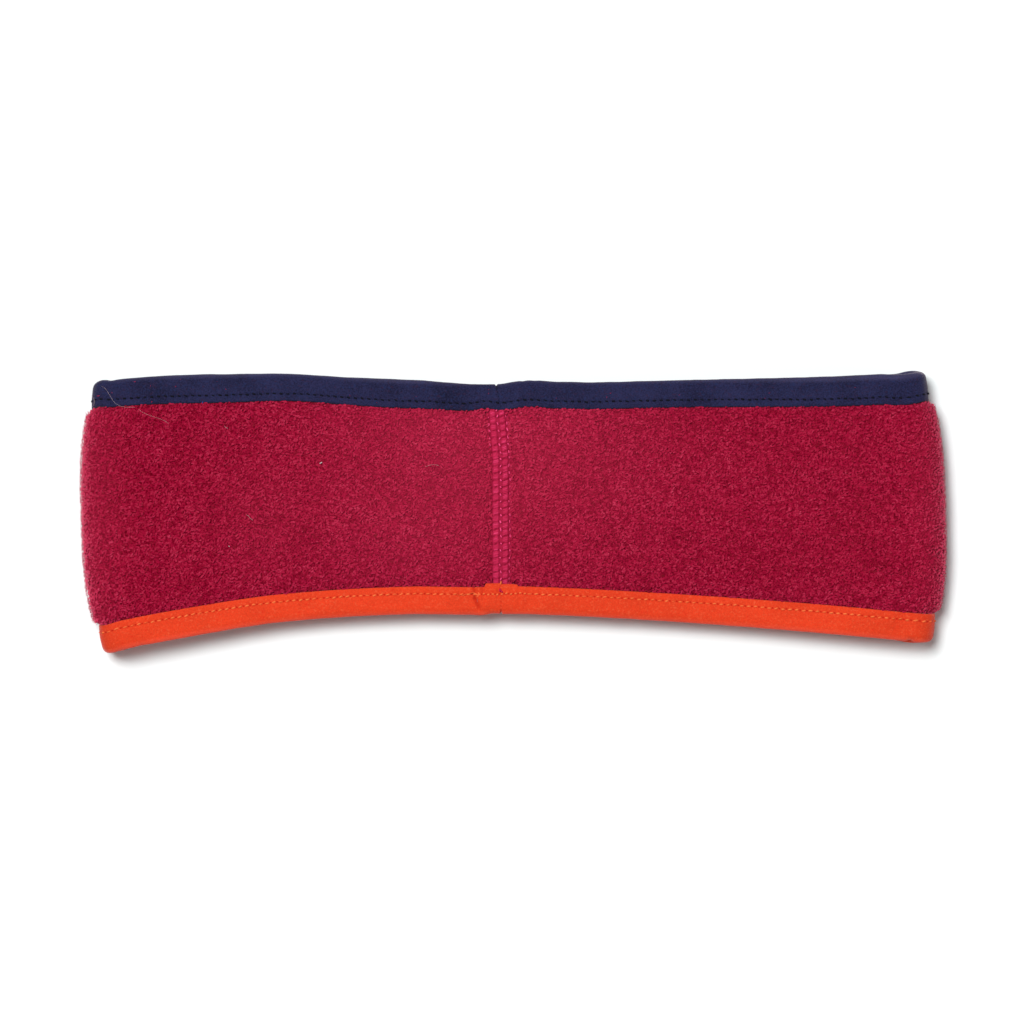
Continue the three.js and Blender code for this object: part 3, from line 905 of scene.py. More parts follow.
def tape_finish(name, cloth, look, sizes):
    """Stretch jersey: fine knit columns, faint speckle, and the needle's holes along the stitches."""
    finish = Finish(
        name, roughness=0.9, specular_ior_level=0.04, sheen_weight=0.3, sheen_roughness=0.3
    )
    finish.surface.inputs["Sheen Tint"].default_value = rgba((1.0, 0.85, 0.85))
    stitch, inset = finish.map_axes("stitches")
    across = (stitch.maths("FRACT") - 0.5) * (sizes.stitch_pitch / MM)
    away = (across * across + inset * inset * 1.3) ** 0.5
    pierced = 1 - finish.step(away, 0.1, 0.42)
    line = 1 - finish.step(inset.maths("ABSOLUTE"), 0.1, 0.6)
    fine = finish.noise(0.42 * MM, 3.0, 0.75)
    grain = finish.noise(0.24 * MM, 1.0, stretch=(1.0, 1.6, 1.0))
    patch = finish.noise(9 * MM, 2.0)
    tone = finish.step(fine * 0.75 + patch * 0.25, 0.34, 0.66)
    speckle = look["speckle"]
    base = finish.mix(tone, rgba(cloth, 1 - speckle), rgba(cloth, 1 + speckle))
    cool = finish.step(finish.noise(0.6 * MM, 2.0), 0.52, 0.72) * 0.6
    warm = finish.step(finish.noise(0.7 * MM, 2.0, stretch=(1.3, 1.0, 1.0)), 0.56, 0.76) * 0.6
    base = finish.mix(cool, base, rgba(look["cool"]))
    base = finish.mix(warm, base, rgba(look["warm"]))
    base = finish.mix(line * 0.15, base, rgba(cloth, 0.7))
    # Painted sheen: the hem's nose is painted paler, as fibres seen edge-on catch the light
    nose = 1 - finish.step(inset, -6.0, -4.4)
    base = finish.mix(nose, base, rgba(look["rim"]), "ADD")
    # The dark line where the tape's ends meet, with the creases' painted shade
    base = finish.mix(finish.attribute("join") * 0.85, base, rgba(look["hole"]))
    finish.paint(finish.mix(pierced * look["pierce"], base, rgba(look["hole"])))
    wale = (stitch * (2 * math.pi * 5)).maths("SINE")
    course = (inset * (2 * math.pi * 2.2)).maths("SINE")
    finish.bump(wale * course * 0.25 + grain * 0.9 + fine * 0.7, 0.07 * MM)
    return finish.material


def thread_finish(name, dark, light):
    """Spun thread: from a dark shade to a light one, with fine filaments round it."""
    finish = Finish(name, roughness=0.75, specular_ior_level=0.08)
    fine = finish.noise(0.16 * MM, 2.0, stretch=(1.6, 1.0, 1.0))
    tone = finish.attribute("shade") * 0.8 + (fine - 0.5) * 0.5
    finish.paint(finish.mix(finish.step(tone, -0.1, 0.9), rgba(dark), rgba(light)))
    finish.bump(fine, 0.05 * MM)
    return finish.material


def floor_finish(colours):
    """A plain pale surface."""
    finish = Finish("floor", base_color=rgba(colours.floor), roughness=0.9)
    finish.surface.inputs["Specular IOR Level"].default_value = 0.1
    return finish.material


def panel_and_loop(context):
    """The sizes, the colours and the loop that they make."""
    scene = context.scene
    return scene.headband_sizes, scene.headband_colours, Loop(scene.headband_sizes)


class HEADBAND_OT_fleece(bpy.types.Operator):
    """Model the fleece band: one closed wall round the loop, pressed under both tapes"""

    bl_idname = "headband.fleece"
    bl_label = "Fleece band"

    def rows(self, count, crowding):
        """Shares of the height from hem to hem, closer together near both tapes."""
        turn = np.linspace(-0.5, 0.5, count) * math.pi * crowding
        return np.sin(turn) / 2 / math.sin(math.pi * crowding / 2) + 0.5

    def execute(self, context):
        sizes, colours, loop = panel_and_loop(context)
        along = loop.stations(back_step=0.62 * MM, fold_step=0.6 * MM, front_step=1.9 * MM)
        station = along[:, None]
        low_edge = loop.tape_width("bottom", station) - 0.3 * MM
        high_edge = loop.tape_width("top", station) - 0.3 * MM
        outer_rows = self.rows(96, 0.8)
        inner_rows = self.rows(26, 0.98)
        nose = np.linspace(0, math.pi, 5)[1:-1]
        edge_inset = loop.tape_outer - loop.pressed * np.sin(nose)
        edge_offset = loop.pressed * np.cos(nose)
        ones = np.ones_like(station)

        def face(rows, sign):
            inset = low_edge * (1 - rows) - high_edge * rows
            height = ones * rows
            swell = loop.swell(station, height, inset)
            if sign > 0:
                return height, inset, loop.outer_face(station, swell) - sizes.pile_depth * 0.75 * swell
            reach = loop.pressed + (loop.half - sizes.pile_depth * 0.5 - loop.pressed) * swell
            return height, inset, -reach

        parts = [
            face(outer_rows[::-1], 1),
            (ones * 0.0, ones * edge_inset, ones * edge_offset),
            face(inner_rows, -1),
            (ones * 1.0, ones * -edge_inset[::-1], ones * edge_offset[::-1]),
        ]
        height, inset, offset = side_by_side(parts)
        swell = loop.swell(station, height, inset)
        up = height * sizes.height_at_folds
        relief = nap_relief(station, up, sizes, nap(station, up, sizes))
        offset = offset + np.sign(offset) * relief * swell
        vertices = loop.points(station, height, inset, offset)
        vertices[..., 2] = np.maximum(vertices[..., 2], 0.1 * MM)
        ring = swept_ring(vertices, {}, 3)
        # Painted sheen: the ground is painted paler where it is seen edge-on
        normals = np.empty(3 * len(ring.data.vertices), np.float32)
        ring.data.vertices.foreach_get("normal", normals)
        edge_on = 1 - np.abs(normals.reshape(-1, 3)[:, 2])
        mark_paler(ring.data, loop, edge_on**1.6 * sizes.painted_rim_sheen * 0.5)
        finish_piece(ring, "fleece_cloth", "fleece", "fleece_band")
        ring.data.materials.append(fleece_ground_finish(colours))
        return {"FINISHED"}


class HEADBAND_OT_pile(bpy.types.Operator):
    """Scatter the curls of the pile over the fleece"""

    bl_idname = "headband.pile"
    bl_label = "Fleece pile"

    def roots(self, loop, sizes, rng, low, high, spacing):
        """Where the curls grow: a jittered net over the flat cloth, thinner where it is low."""
        tall = sizes.height_at_folds
        columns, rows = int((high - low) / spacing), int(tall / spacing)
        along, up = np.meshgrid(np.arange(columns) + 0.5, np.arange(rows) + 0.5, indexing="ij")
        along = low + (along + rng.uniform(-0.5, 0.5, along.shape)).ravel() * spacing
        up = (up + rng.uniform(-0.5, 0.5, up.shape)).ravel() / rows
        low_past, high_past = loop.past_tapes(along, up, 0.0)
        keep = (low_past > -0.4 * MM) & (high_past > -0.3 * MM)
        left_rib, right_rib = SEAM_RIBS[0], SEAM_RIBS[1]
        seam_low = (left_rib["middle"] - left_rib["half"] * 1.1) * MM
        seam_high = (right_rib["middle"] + right_rib["half"] * 1.1) * MM
        keep &= (along < seam_low) | (along > seam_high)
        x, _, turned, apex = loop.place(along, up, 0.0)
        bottom, top = loop.hems(x, turned, apex)
        keep &= rng.random(len(up)) < (top - bottom) / tall * 1.02
        return along[keep], up[keep]

    def ground(self, loop, along, up, lump, low_past, high_past):
        """What the curls lie on, over the middle surface, and how near each is to a tape."""
        sizes = loop.sizes
        base = loop.outer_face(along, loop.swell(along, up, 0.0))
        base = base + nap_relief(along, up * sizes.height_at_folds, sizes, lump)
        over_edge = np.clip(1 - high_past / (0.7 * MM), 0, 1)
        by_low = np.clip(1.2 - low_past / (0.8 * MM), 0, 1)
        near_tape = np.maximum(over_edge, by_low)
        return np.where(near_tape > 0, np.maximum(base, loop.tape_outer), base), near_tape

    def curls(self, name, loop, sizes, rng, low, high, spacing, material):
        """One field of curls between two places along the loop."""
        along, up = self.roots(loop, sizes, rng, low, high, spacing)
        count, flat_up = len(along), up * sizes.height_at_folds
        low_past, high_past = loop.past_tapes(along, up, 0.0)
        point, ahead, upward, outward = loop.directions(along, up, np.zeros(count))
        lump = nap(along, flat_up, sizes)
        apex = loop.place(along, up, 0.0)[3]
        base, near_tape = self.ground(loop, along, up, lump, low_past, high_past)
        heading = sizes.curl_heading + waves(along, flat_up, 6 * MM, sizes.seed + 5) * 1.2
        heading = heading + rng.normal(0, 0.6, count)
        direction = np.cos(heading)[:, None] * ahead + np.sin(heading)[:, None] * upward
        aside = np.cross(outward, direction)
        long = sizes.curl_length * rng.uniform(0.65, 1.25, count)
        bow = long * rng.uniform(-0.25, 0.25, count)
        lift = sizes.pile_depth * rng.uniform(0.4, 1.0, count)
        free = np.where(rng.random(count) < 0.12, rng.uniform(0.2, 0.7, count), 0) * sizes.pile_depth
        t = np.array([0.0, 0.3, 0.7, 1.0])
        arch = 4 * t * (1 - t)
        rise = base[:, None] - sizes.pile_depth + lift[:, None] * arch + free[:, None] * t
        rise = rise + 0.12 * MM * near_tape[:, None]
        paths = (
            point[:, None]
            + outward[:, None] * rise[..., None]
            + direction[:, None] * ((t - 0.5) * long[:, None])[..., None]
            + aside[:, None] * (arch * bow[:, None])[..., None]
        )
        reach = ((paths - point[:, None]) * upward[:, None]).sum(-1)
        spill = rng.uniform(0, 0.45, count)[:, None] * MM
        into_low = np.clip(-0.6 * spill - low_past[:, None] - reach, 0, None)
        into_high = np.clip(reach - high_past[:, None] - spill, 0, None)
        paths = paths + upward[:, None] * (into_low - into_high)[..., None]
        radius = sizes.curl_radius * rng.uniform(0.75, 1.2, count)
        radii = radius[:, None] * np.array([0.0, 1.0, 0.9, 0.0])
        paths[..., 2] = np.maximum(paths[..., 2], radii + 0.05 * MM)
        # Painted sheen: curls near a fold's apex are paler. Painted shade and highlight: curls in the
        # nap's cracks are darker, those on its lumps paler
        rim = np.clip(apex, 0, 1) ** 2.5 * 0.4
        shades = 0.1 + 0.6 * lump + 0.12 * rng.random(count) + rim
        field = thread_field(
            name, paths, outward, radii, 3, flat=0.7, shades=shades,
            roots=np.stack([along, flat_up], axis=-1), soft=0.65,
        )
        # Painted sheen: the curls are painted paler where they are seen edge-on
        edge_on = (1 - np.abs(outward[:, 2])) ** 1.6
        each = len(field.data.vertices) // count
        mark_paler(field.data, loop, np.repeat(edge_on * sizes.painted_rim_sheen, each))
        finish_piece(field, name, "fleece")
        field.data.materials.append(material)

    def execute(self, context):
        sizes, colours, loop = panel_and_loop(context)
        rng = np.random.default_rng(sizes.seed)
        material = fleece_pile_finish(colours)
        left, right = loop.back_run["left"], loop.back_run["right"]
        turn = math.pi * loop.radius
        near, far = sizes.curl_spacing, sizes.curl_spacing * 1.9
        fields = (
            ("pile_back_left", -left, 0.0, near),
            ("pile_back_right", 0.0, right, near),
            ("pile_left_fold", -left - turn, -left, near),
            ("pile_right_fold", right, right + turn, near),
            ("pile_front_left", -loop.half_loop["left"], -left - turn, far),
            ("pile_front_right", right + turn, loop.half_loop["right"], far),
        )
        for name, low, high, spacing in fields:
            self.curls(name, loop, sizes, rng, low, high, spacing, material)
        return {"FINISHED"}


class HEADBAND_OT_fuzz(bpy.types.Operator):
    """Add the fine loose fibres that stand out along both folds"""

    bl_idname = "headband.fuzz"
    bl_label = "Fold fuzz"

    def execute(self, context):
        sizes, colours, loop = panel_and_loop(context)
        rng = np.random.default_rng(sizes.seed + 8)
        count = FUZZ_FIBRES
        side = np.where(rng.random(count) < 0.5, "left", "right")
        sign = np.where(side == "left", -1.0, 1.0)
        fold_middle = np.where(side == "left", loop.back_run["left"], loop.back_run["right"])
        fold_middle = fold_middle + math.pi * loop.radius / 2
        along = sign * (fold_middle + rng.normal(0.05, 0.24, count) * loop.radius)
        up = rng.uniform(0.1, 0.9, count)
        low_past, high_past = loop.past_tapes(along, up, 0.0)
        keep = (low_past > 0.2 * MM) & (high_past > 0.3 * MM)
        along, up = along[keep], up[keep]
        count = len(along)
        point, ahead, upward, outward = loop.directions(along, up, np.zeros(count))
        base = loop.outer_face(along, loop.swell(along, up, 0.0)) - 0.3 * MM
        t = np.linspace(0, 1, 5)
        long = sizes.fuzz_length * rng.uniform(0.6, 1.5, count)
        lean = rng.normal(0, 0.5, (2, count))
        curl = rng.normal(0, 0.35, (2, count))
        ways = [
            (lean[k][:, None] * t + curl[k][:, None] * t * t) * long[:, None] for k in range(2)
        ]
        rise = base[:, None] + (0.3 * MM + 0.75 * long[:, None] * t * (1 - 0.3 * t))
        paths = (
            point[:, None]
            + outward[:, None] * rise[..., None]
            + ahead[:, None] * ways[0][..., None]
            + upward[:, None] * ways[1][..., None]
        )
        paths[..., 2] = np.maximum(paths[..., 2], 0.2 * MM)
        radii = 0.05 * MM * np.array([1.0, 1.2, 1.0, 0.8, 0.2])
        across = unit(np.cross(outward, upward))
        field = thread_field("fold_fuzz", paths, across, radii, 3, shades=rng.random(count))
        finish_piece(field, "fold_fuzz", "fleece")
        field.data.materials.append(thread_finish("fold_fuzz", colours.fleece_pale_and_highlight, colours.fuzz))
        return {"FINISHED"}


class HEADBAND_OT_tapes(bpy.types.Operator):
    """Model the navy and the orange tape: each one folded over its hem all round the loop"""

    bl_idname = "headband.tapes"
    bl_label = "Taped hems"

    def relief(self, loop, sizes, hem, along, inset, face):
        """How far the tape's surface stands out from its plain form."""
        width = loop.tape_width(hem, along)
        line = inset - (loop.folded_width(hem, along) - sizes.stitch_inset)
        phase = np.cos(2 * math.pi * along / sizes.stitch_pitch)
        flank = smoothstep(inset, loop.tape_outer * 0.9, loop.tape_outer * 1.4)
        dip = -0.13 * MM * bell(line, 0.5 * MM) * (0.6 - 0.4 * phase)
        pucker = 0.05 * MM * bell(line, 1.6 * MM) * phase
        uneven = waves(along, inset, 7 * MM, sizes.seed + 11) * 0.1 * MM
        fine = waves(along, inset * 0.6, 2.6 * MM, sizes.seed + 12) * 0.035 * MM
        total = (dip + pucker) * flank + (uneven + fine) * (0.4 + 0.6 * flank)
        total = total + sizes.tab_rise * loop.tab(hem, along) * flank * (face > 0)
        total = total - self.creases(hem, along, inset, width, "depth") * MM * (face > 0)
        groove = np.clip(1 - 2 * np.abs(self.past_join(hem, along, inset)) / sizes.groove_width, 0, 1)
        shallow = 1 - 0.75 * smoothstep(inset, 0.4 * MM, 1.3 * MM)
        return total - sizes.groove_depth * groove * shallow * (face != 0)

    def creases(self, hem, along, inset, width, column):
        """The depth or the painted shade that a tape's creases give it."""
        total = 0.0
        for crease in TAPE_CREASES:
            if crease["hem"] == hem:
                across = along - crease["at"] * MM - crease["lean"] * (width / 2 - inset)
                shown = smoothstep(inset / MM, crease["from"] - 0.8, crease["from"])
                shown = shown * (1 - smoothstep(inset / MM, crease["to"] - 0.8, crease["to"]))
                total = total + crease[column] * bell(across, crease["width"] * MM) * shown
        return total

    def past_join(self, hem, along, inset):
        """How far a point of the tape lies past the line where its two ends meet."""
        join = TAPE_JOINS[hem]
        return along - join["at"] * MM - join["lean"] * inset

    def tape(self, loop, sizes, look, material):
        """One tape: its section swept along the loop, with its relief and its stitches' map."""
        hem = look["hem"]
        marks = np.concatenate([np.arange(0.1, 1.3, 0.12), np.arange(1.4, 9.5, 0.22)]) * MM
        along = loop.stations(
            back_step=0.42 * MM, fold_step=0.7 * MM, front_step=1.6 * MM, marks=marks
        )
        station = along[:, None]
        width, outer, inner = loop.tape_width(hem, station), loop.tape_outer, loop.tape_inner
        round_edge = np.array([0.0, 0.1, 0.35]) * MM
        drop = np.array([0.45, 0.14, 0.0]) * MM
        flank = np.linspace(0, 1, 17)[1:]
        back_flank = np.linspace(0, 1, 8)[1:]
        nose = np.linspace(0, math.pi, 11)[1:-1]
        ones = np.ones_like(station)
        start = width - round_edge[-1]
        parts = [
            (width - round_edge, ones * (outer - drop), ones * np.ones(3)),
            (start + (outer - start) * flank, ones * np.full(16, outer), ones * np.ones(16)),
            (ones * outer * (1 - np.sin(nose)), ones * outer * np.cos(nose), ones * np.full(9, 0.5)),
            (outer + (start - outer) * back_flank, ones * np.full(7, -outer), -ones * np.ones(7)),
            ((width - round_edge)[:, ::-1], -ones * (outer - drop)[::-1], -ones * np.ones(3)),
            (width * np.ones((1, 1)), -ones * inner, 0 * ones),
            (ones * (outer + 0.1 * MM), -ones * inner, 0 * ones),
            (ones * (outer - inner), 0 * ones, 0 * ones),
            (ones * (outer + 0.1 * MM), ones * inner, 0 * ones),
            (width * np.ones((1, 1)), ones * inner, 0 * ones),
        ]
        inset, offset, face = side_by_side(parts)
        relief = self.relief(loop, sizes, hem, station, inset, face)
        nose_rows = (face == 0.5) | (inset < outer)
        direction_in = np.where(nose_rows, (outer - inset) / outer, 0.0)
        direction_out = np.where(nose_rows, offset / outer, np.sign(offset))
        shown = face != 0
        inset = inset - np.where(shown, relief * direction_in, 0)
        offset = offset + np.where(shown, relief * direction_out, 0)
        end, sign = HEM_ENDS[hem]
        vertices = loop.points(station, end, sign * inset, offset)
        vertices[..., 2] = np.maximum(vertices[..., 2], 0.0)
        places = np.append(along, along[0] + 2 * loop.half_loop["right"])[:, None]
        row = loop.folded_width(hem, station) - sizes.stitch_inset
        lines = np.where(shown, (inset - row) / MM, 9.0)
        lines = np.pad(lines, ((0, 1), (0, 1)), mode="wrap")
        pitch = np.where(loop.at_tab(hem, places), sizes.tab_pitch, sizes.stitch_pitch)
        stitches = np.stack(np.broadcast_arrays(places / pitch, lines), axis=-1)
        join = bell(self.past_join(hem, station, inset), 0.14 * MM)
        dots = np.clip(0.45 + 1.2 * np.cos(inset * 2 * math.pi / (1.2 * MM)), 0, 1.4)
        join = join * np.where(inset > 1.6 * MM, dots, 1.2) * (inset < 5.8 * MM)
        # The creases' painted shade is added to the dark line where the tape's ends meet
        join = np.clip(join + self.creases(hem, station, inset, width, "dark"), 0, 1) * (offset > 0)
        ring = swept_ring(vertices, {"stitches": stitches}, 8, {"join": join})
        finish_piece(ring, look["name"], f"{hem}_tape", f"{hem}_binding")
        ring.data.materials.append(material)

    def execute(self, context):
        sizes, colours, loop = panel_and_loop(context)
        for look, cloth in zip(TAPE_LOOKS, (colours.navy, colours.orange)):
            material = tape_finish(look["name"], cloth, look, sizes)
            self.tape(loop, sizes, look, material)
        return {"FINISHED"}


class HEADBAND_OT_stitches(bpy.types.Operator):
    """Sew the row of stitches along each tape, on both faces"""

    bl_idname = "headband.stitches"
    bl_label = "Tape stitches"

    def row(self, loop, rng, look, face):
        """The stitches on one face of a tape: their paths, the way out of the cloth, their widths."""
        sizes, hem, pitch = loop.sizes, look["hem"], loop.sizes.stitch_pitch
        first = math.ceil(-loop.half_loop["left"] / pitch)
        last = math.floor(loop.half_loop["right"] / pitch)
        centre = (np.arange(first, last) + 1) * pitch
        if face > 0 and hem == "bottom":
            tight = np.arange(-5, 6) * sizes.tab_pitch
            centre = np.concatenate([centre[~loop.at_tab(hem, centre)], tight])
        count = len(centre)
        dotted = loop.at_tab(hem, centre) & (face > 0)
        long = pitch * np.where(dotted, 0.34, look["long"])
        long = long * rng.uniform(0.88, 1.15, count)
        slant = rng.normal(0.12, 0.07, count) * MM
        wobble = rng.normal(0, 0.06, count) * MM * np.where(dotted, 2, 1)
        t = np.linspace(0, 1, 6)
        place = centre[:, None] + (t - 0.5) * long[:, None]
        inset = loop.folded_width(hem, place) - sizes.stitch_inset + wobble[:, None]
        inset = inset + (t - 0.5) * 2 * slant[:, None]
        rise = -0.24 * MM + np.sin(math.pi * t) * rng.uniform(0.24, 0.34, count)[:, None] * MM
        tab = sizes.tab_rise * loop.tab(hem, place) * (face > 0)
        end, sign = HEM_ENDS[hem]
        point, _, _, outward = loop.directions(place, end, sign * inset)
        paths = point + face * outward * (loop.tape_outer + rise + tab)[..., None]
        widths = np.where(dotted, 1.25, look["thick"] * rng.uniform(0.85, 1.2, count))
        return paths, face * outward[:, 2], widths

    def execute(self, context):
        sizes, colours, loop = panel_and_loop(context)
        threads = {
            "top": (colours.navy_shade, colours.navy_thread),
            "bottom": (colours.orange, colours.orange_thread),
        }
        taper = np.array([0.2, 0.85, 1.0, 1.0, 0.85, 0.2])
        for look in STITCH_LOOKS:
            name = look["name"]
            rng = np.random.default_rng(sizes.seed + len(name))
            faces = [self.row(loop, rng, look, face) for face in (1, -1)]
            paths, outward, widths = (np.concatenate(part) for part in zip(*faces))
            radii = sizes.stitch_radius * taper * widths[:, None]
            paths[..., 2] = np.maximum(paths[..., 2], radii)
            shades = rng.uniform(0.4, 1.1, len(paths)) + (widths - 1) * 1.2
            row = thread_field(name, paths, outward, radii, 6, shades=shades)
            finish_piece(row, name, f"{look['hem']}_tape")
            row.data.materials.append(thread_finish(name, *threads[look["hem"]]))
        return {"FINISHED"}


class HEADBAND_OT_seam(bpy.types.Operator):
    """Sew the flat back seam: two ribs with cross threads, and three rows of needle stitches"""

    bl_idname = "headband.seam"
    bl_label = "Back seam"
    taper = np.array([0.2, 0.9, 1.0, 1.0, 0.9, 0.2]) * MM

    def rib_height(self, across):
        """Height of the ribs over the pressed fleece."""
        from_groove = np.abs(across - SEAM_GROOVE * MM)
        height = (0.04 - 0.3 * smoothstep(from_groove, 2.3 * MM, 2.7 * MM)) * MM
        for rib in SEAM_RIBS:
            away = np.clip(np.abs(across / MM - rib["middle"]) / rib["half"], 0, 1)
            height = height + rib["height"] * MM * np.sqrt(1 - away**2) * (1 - away**6)
        return height

    def on_seam(self, loop, across, row, lift):
        """Points over the seam: across it, a share of its length, and height over the fleece."""
        low = loop.tape_width("bottom", 0.0) - 0.3 * MM
        high = loop.tape_width("top", 0.0) - 0.3 * MM
        inset = low * (1 - row) - high * row
        swell = np.maximum(loop.swell(across, row, inset), 0.9)
        return loop.points(across, row, inset, loop.outer_face(across, swell) + lift)

    def strip(self, loop, sizes, long, colours):
        """The seam's ground: two ribs with a groove between them."""
        columns, rows = 36, 169
        across, row = np.meshgrid(
            np.linspace(-0.5, 0.5, columns + 1) * sizes.seam_width, np.linspace(0, 1, rows + 1)
        )
        deselect_all()
        bpy.ops.mesh.primitive_grid_add(x_subdivisions=columns, y_subdivisions=rows, size=1)
        strip = bpy.context.object
        left_rib, right_rib = (rib["middle"] for rib in SEAM_RIBS)
        slanted = (across - np.where(across > SEAM_GROOVE * MM, right_rib, left_rib) * MM) * RUNG_SLANT
        rung = np.cos(2 * math.pi * (row * long / sizes.stitch_pitch - RUNG_START) - slanted)
        gap = np.clip(-rung, 0, 1) ** 2
        rib = self.rib_height(across)
        uneven = waves(across, row * long, 1.1 * MM, 5)
        lift = rib + (0.05 * rung + 0.03 * uneven) * MM * (rib > 0.15 * MM)
        vertices = self.on_seam(loop, across, row, lift)
        strip.data.vertices.foreach_set("co", vertices.astype(np.float32).ravel())
        on_rib = smoothstep(rib, 0.06 * MM, 0.32 * MM)
        # Painted shade: the groove between the ribs and the gaps between stitches are darker; uneven
        # is random tone
        ladder = 0.42 + on_rib * (0.3 - 0.5 * gap + 0.45 * uneven - 0.15 * (across > 0))
        ladder = ladder - (1 - on_rib) * 0.4 * gap
        set_attribute(strip.data, "shade", ladder)
        strip.data.update()
        wall = strip.modifiers.new("wall", "SOLIDIFY")
        wall.thickness = 0.5 * MM
        wall.offset = -1
        bpy.ops.object.modifier_apply(modifier=wall.name)
        finish_piece(strip, "seam_cloth", "seam_thread", "back_seam")
        strip.data.materials.append(
            thread_finish("seam_cloth", colours.seam_dark_and_shade, colours.seam_thread)
        )

    def over_ribs(self, rng, start):
        """The cross threads of one stitch of the seam, over both ribs."""
        t, threads = np.linspace(0, 1, 6), []
        for rib in SEAM_RIBS:
            late = rng.normal(0, 0.12)
            for strand in RIB_STRANDS:
                half = rib["half"] * rng.uniform(0.78, 1.12)
                across = (rib["middle"] + (t - 0.5) * 2 * half) * MM
                tilt = (t - 0.5) * rng.normal(0.35, 0.15) + rng.normal(0, 0.05) + late
                place = start + (strand + tilt) * MM
                outermost = strand in (RIB_STRANDS[0], RIB_STRANDS[-1])
                # Painted shade: the outermost threads of each stitch are darker, beside the gaps
                # between stitches
                shade = 0.12 + rng.normal(0, 0.24) - 0.25 * outermost
                radii = rng.uniform(0.1, 0.17) * self.taper
                threads.append((across, place, self.rib_height(across), shade, radii))
        return threads

    def needle_stitches(self, rng, start, share_of_seam, pitch):
        """One stitch of each of the seam's needle rows, sewn double where the row is palest."""
        t, threads = np.linspace(0, 1, 6), []
        for line in SEAM_ROWS:
            past_palest = share_of_seam - line["palest"]
            if share_of_seam < line["from"]:
                continue
            for _ in range(2 if abs(past_palest) < 0.06 else 1):
                slant = line["slant"] * rng.choice([-1.0, -1.0, -1.0, 1.0])
                across = (line["at"] + (t - 0.5) * slant + rng.normal(0, 0.1)) * MM
                grown = line["long"] * rng.uniform(0.5, 1.25)
                place = start + 0.45 * pitch + (rng.normal(0, 0.12) + (t - 0.5) * grown) * MM
                rise = self.rib_height(np.full(6, line["at"]) * MM)
                rise = rise + (0.2 + 0.16 * np.sin(math.pi * t)) * MM
                pale = line["pale"] * (0.7 + 0.5 * bell(past_palest, 0.12))
                shade = 0.25 + 0.85 * pale * rng.uniform(0.45, 1.15)
                radii = line["thick"] * rng.uniform(0.75, 1.2) * self.taper
                threads.append((across, place, rise, shade, radii))
        return threads

    def execute(self, context):
        sizes, colours, loop = panel_and_loop(context)
        rng = np.random.default_rng(sizes.seed + 3)
        pitch = sizes.stitch_pitch
        long = sizes.height_at_seam - loop.tape_widths["bottom"] - loop.tape_widths["top"]
        self.strip(loop, sizes, long, colours)
        threads = []
        for number in range(int(long / pitch) + 1):
            start = (number + 0.35) * pitch
            threads += self.over_ribs(rng, start)
            threads += self.needle_stitches(rng, start, number * pitch / long, pitch)
        across, place, lift, shades, radii = (np.array(part) for part in zip(*threads))
        paths = self.on_seam(loop, across, np.clip(place / long, 0, 1), lift)
        outward = np.tile([0.0, 0.0, 1.0], (len(paths), 1))
        field = thread_field("seam_threads", paths, outward, radii, 6, shades=shades)
        finish_piece(field, "seam_threads", "seam_thread")
        field.data.materials.append(
            thread_finish("seam_threads", colours.seam_thread, colours.seam_light)
        )
        return {"FINISHED"}


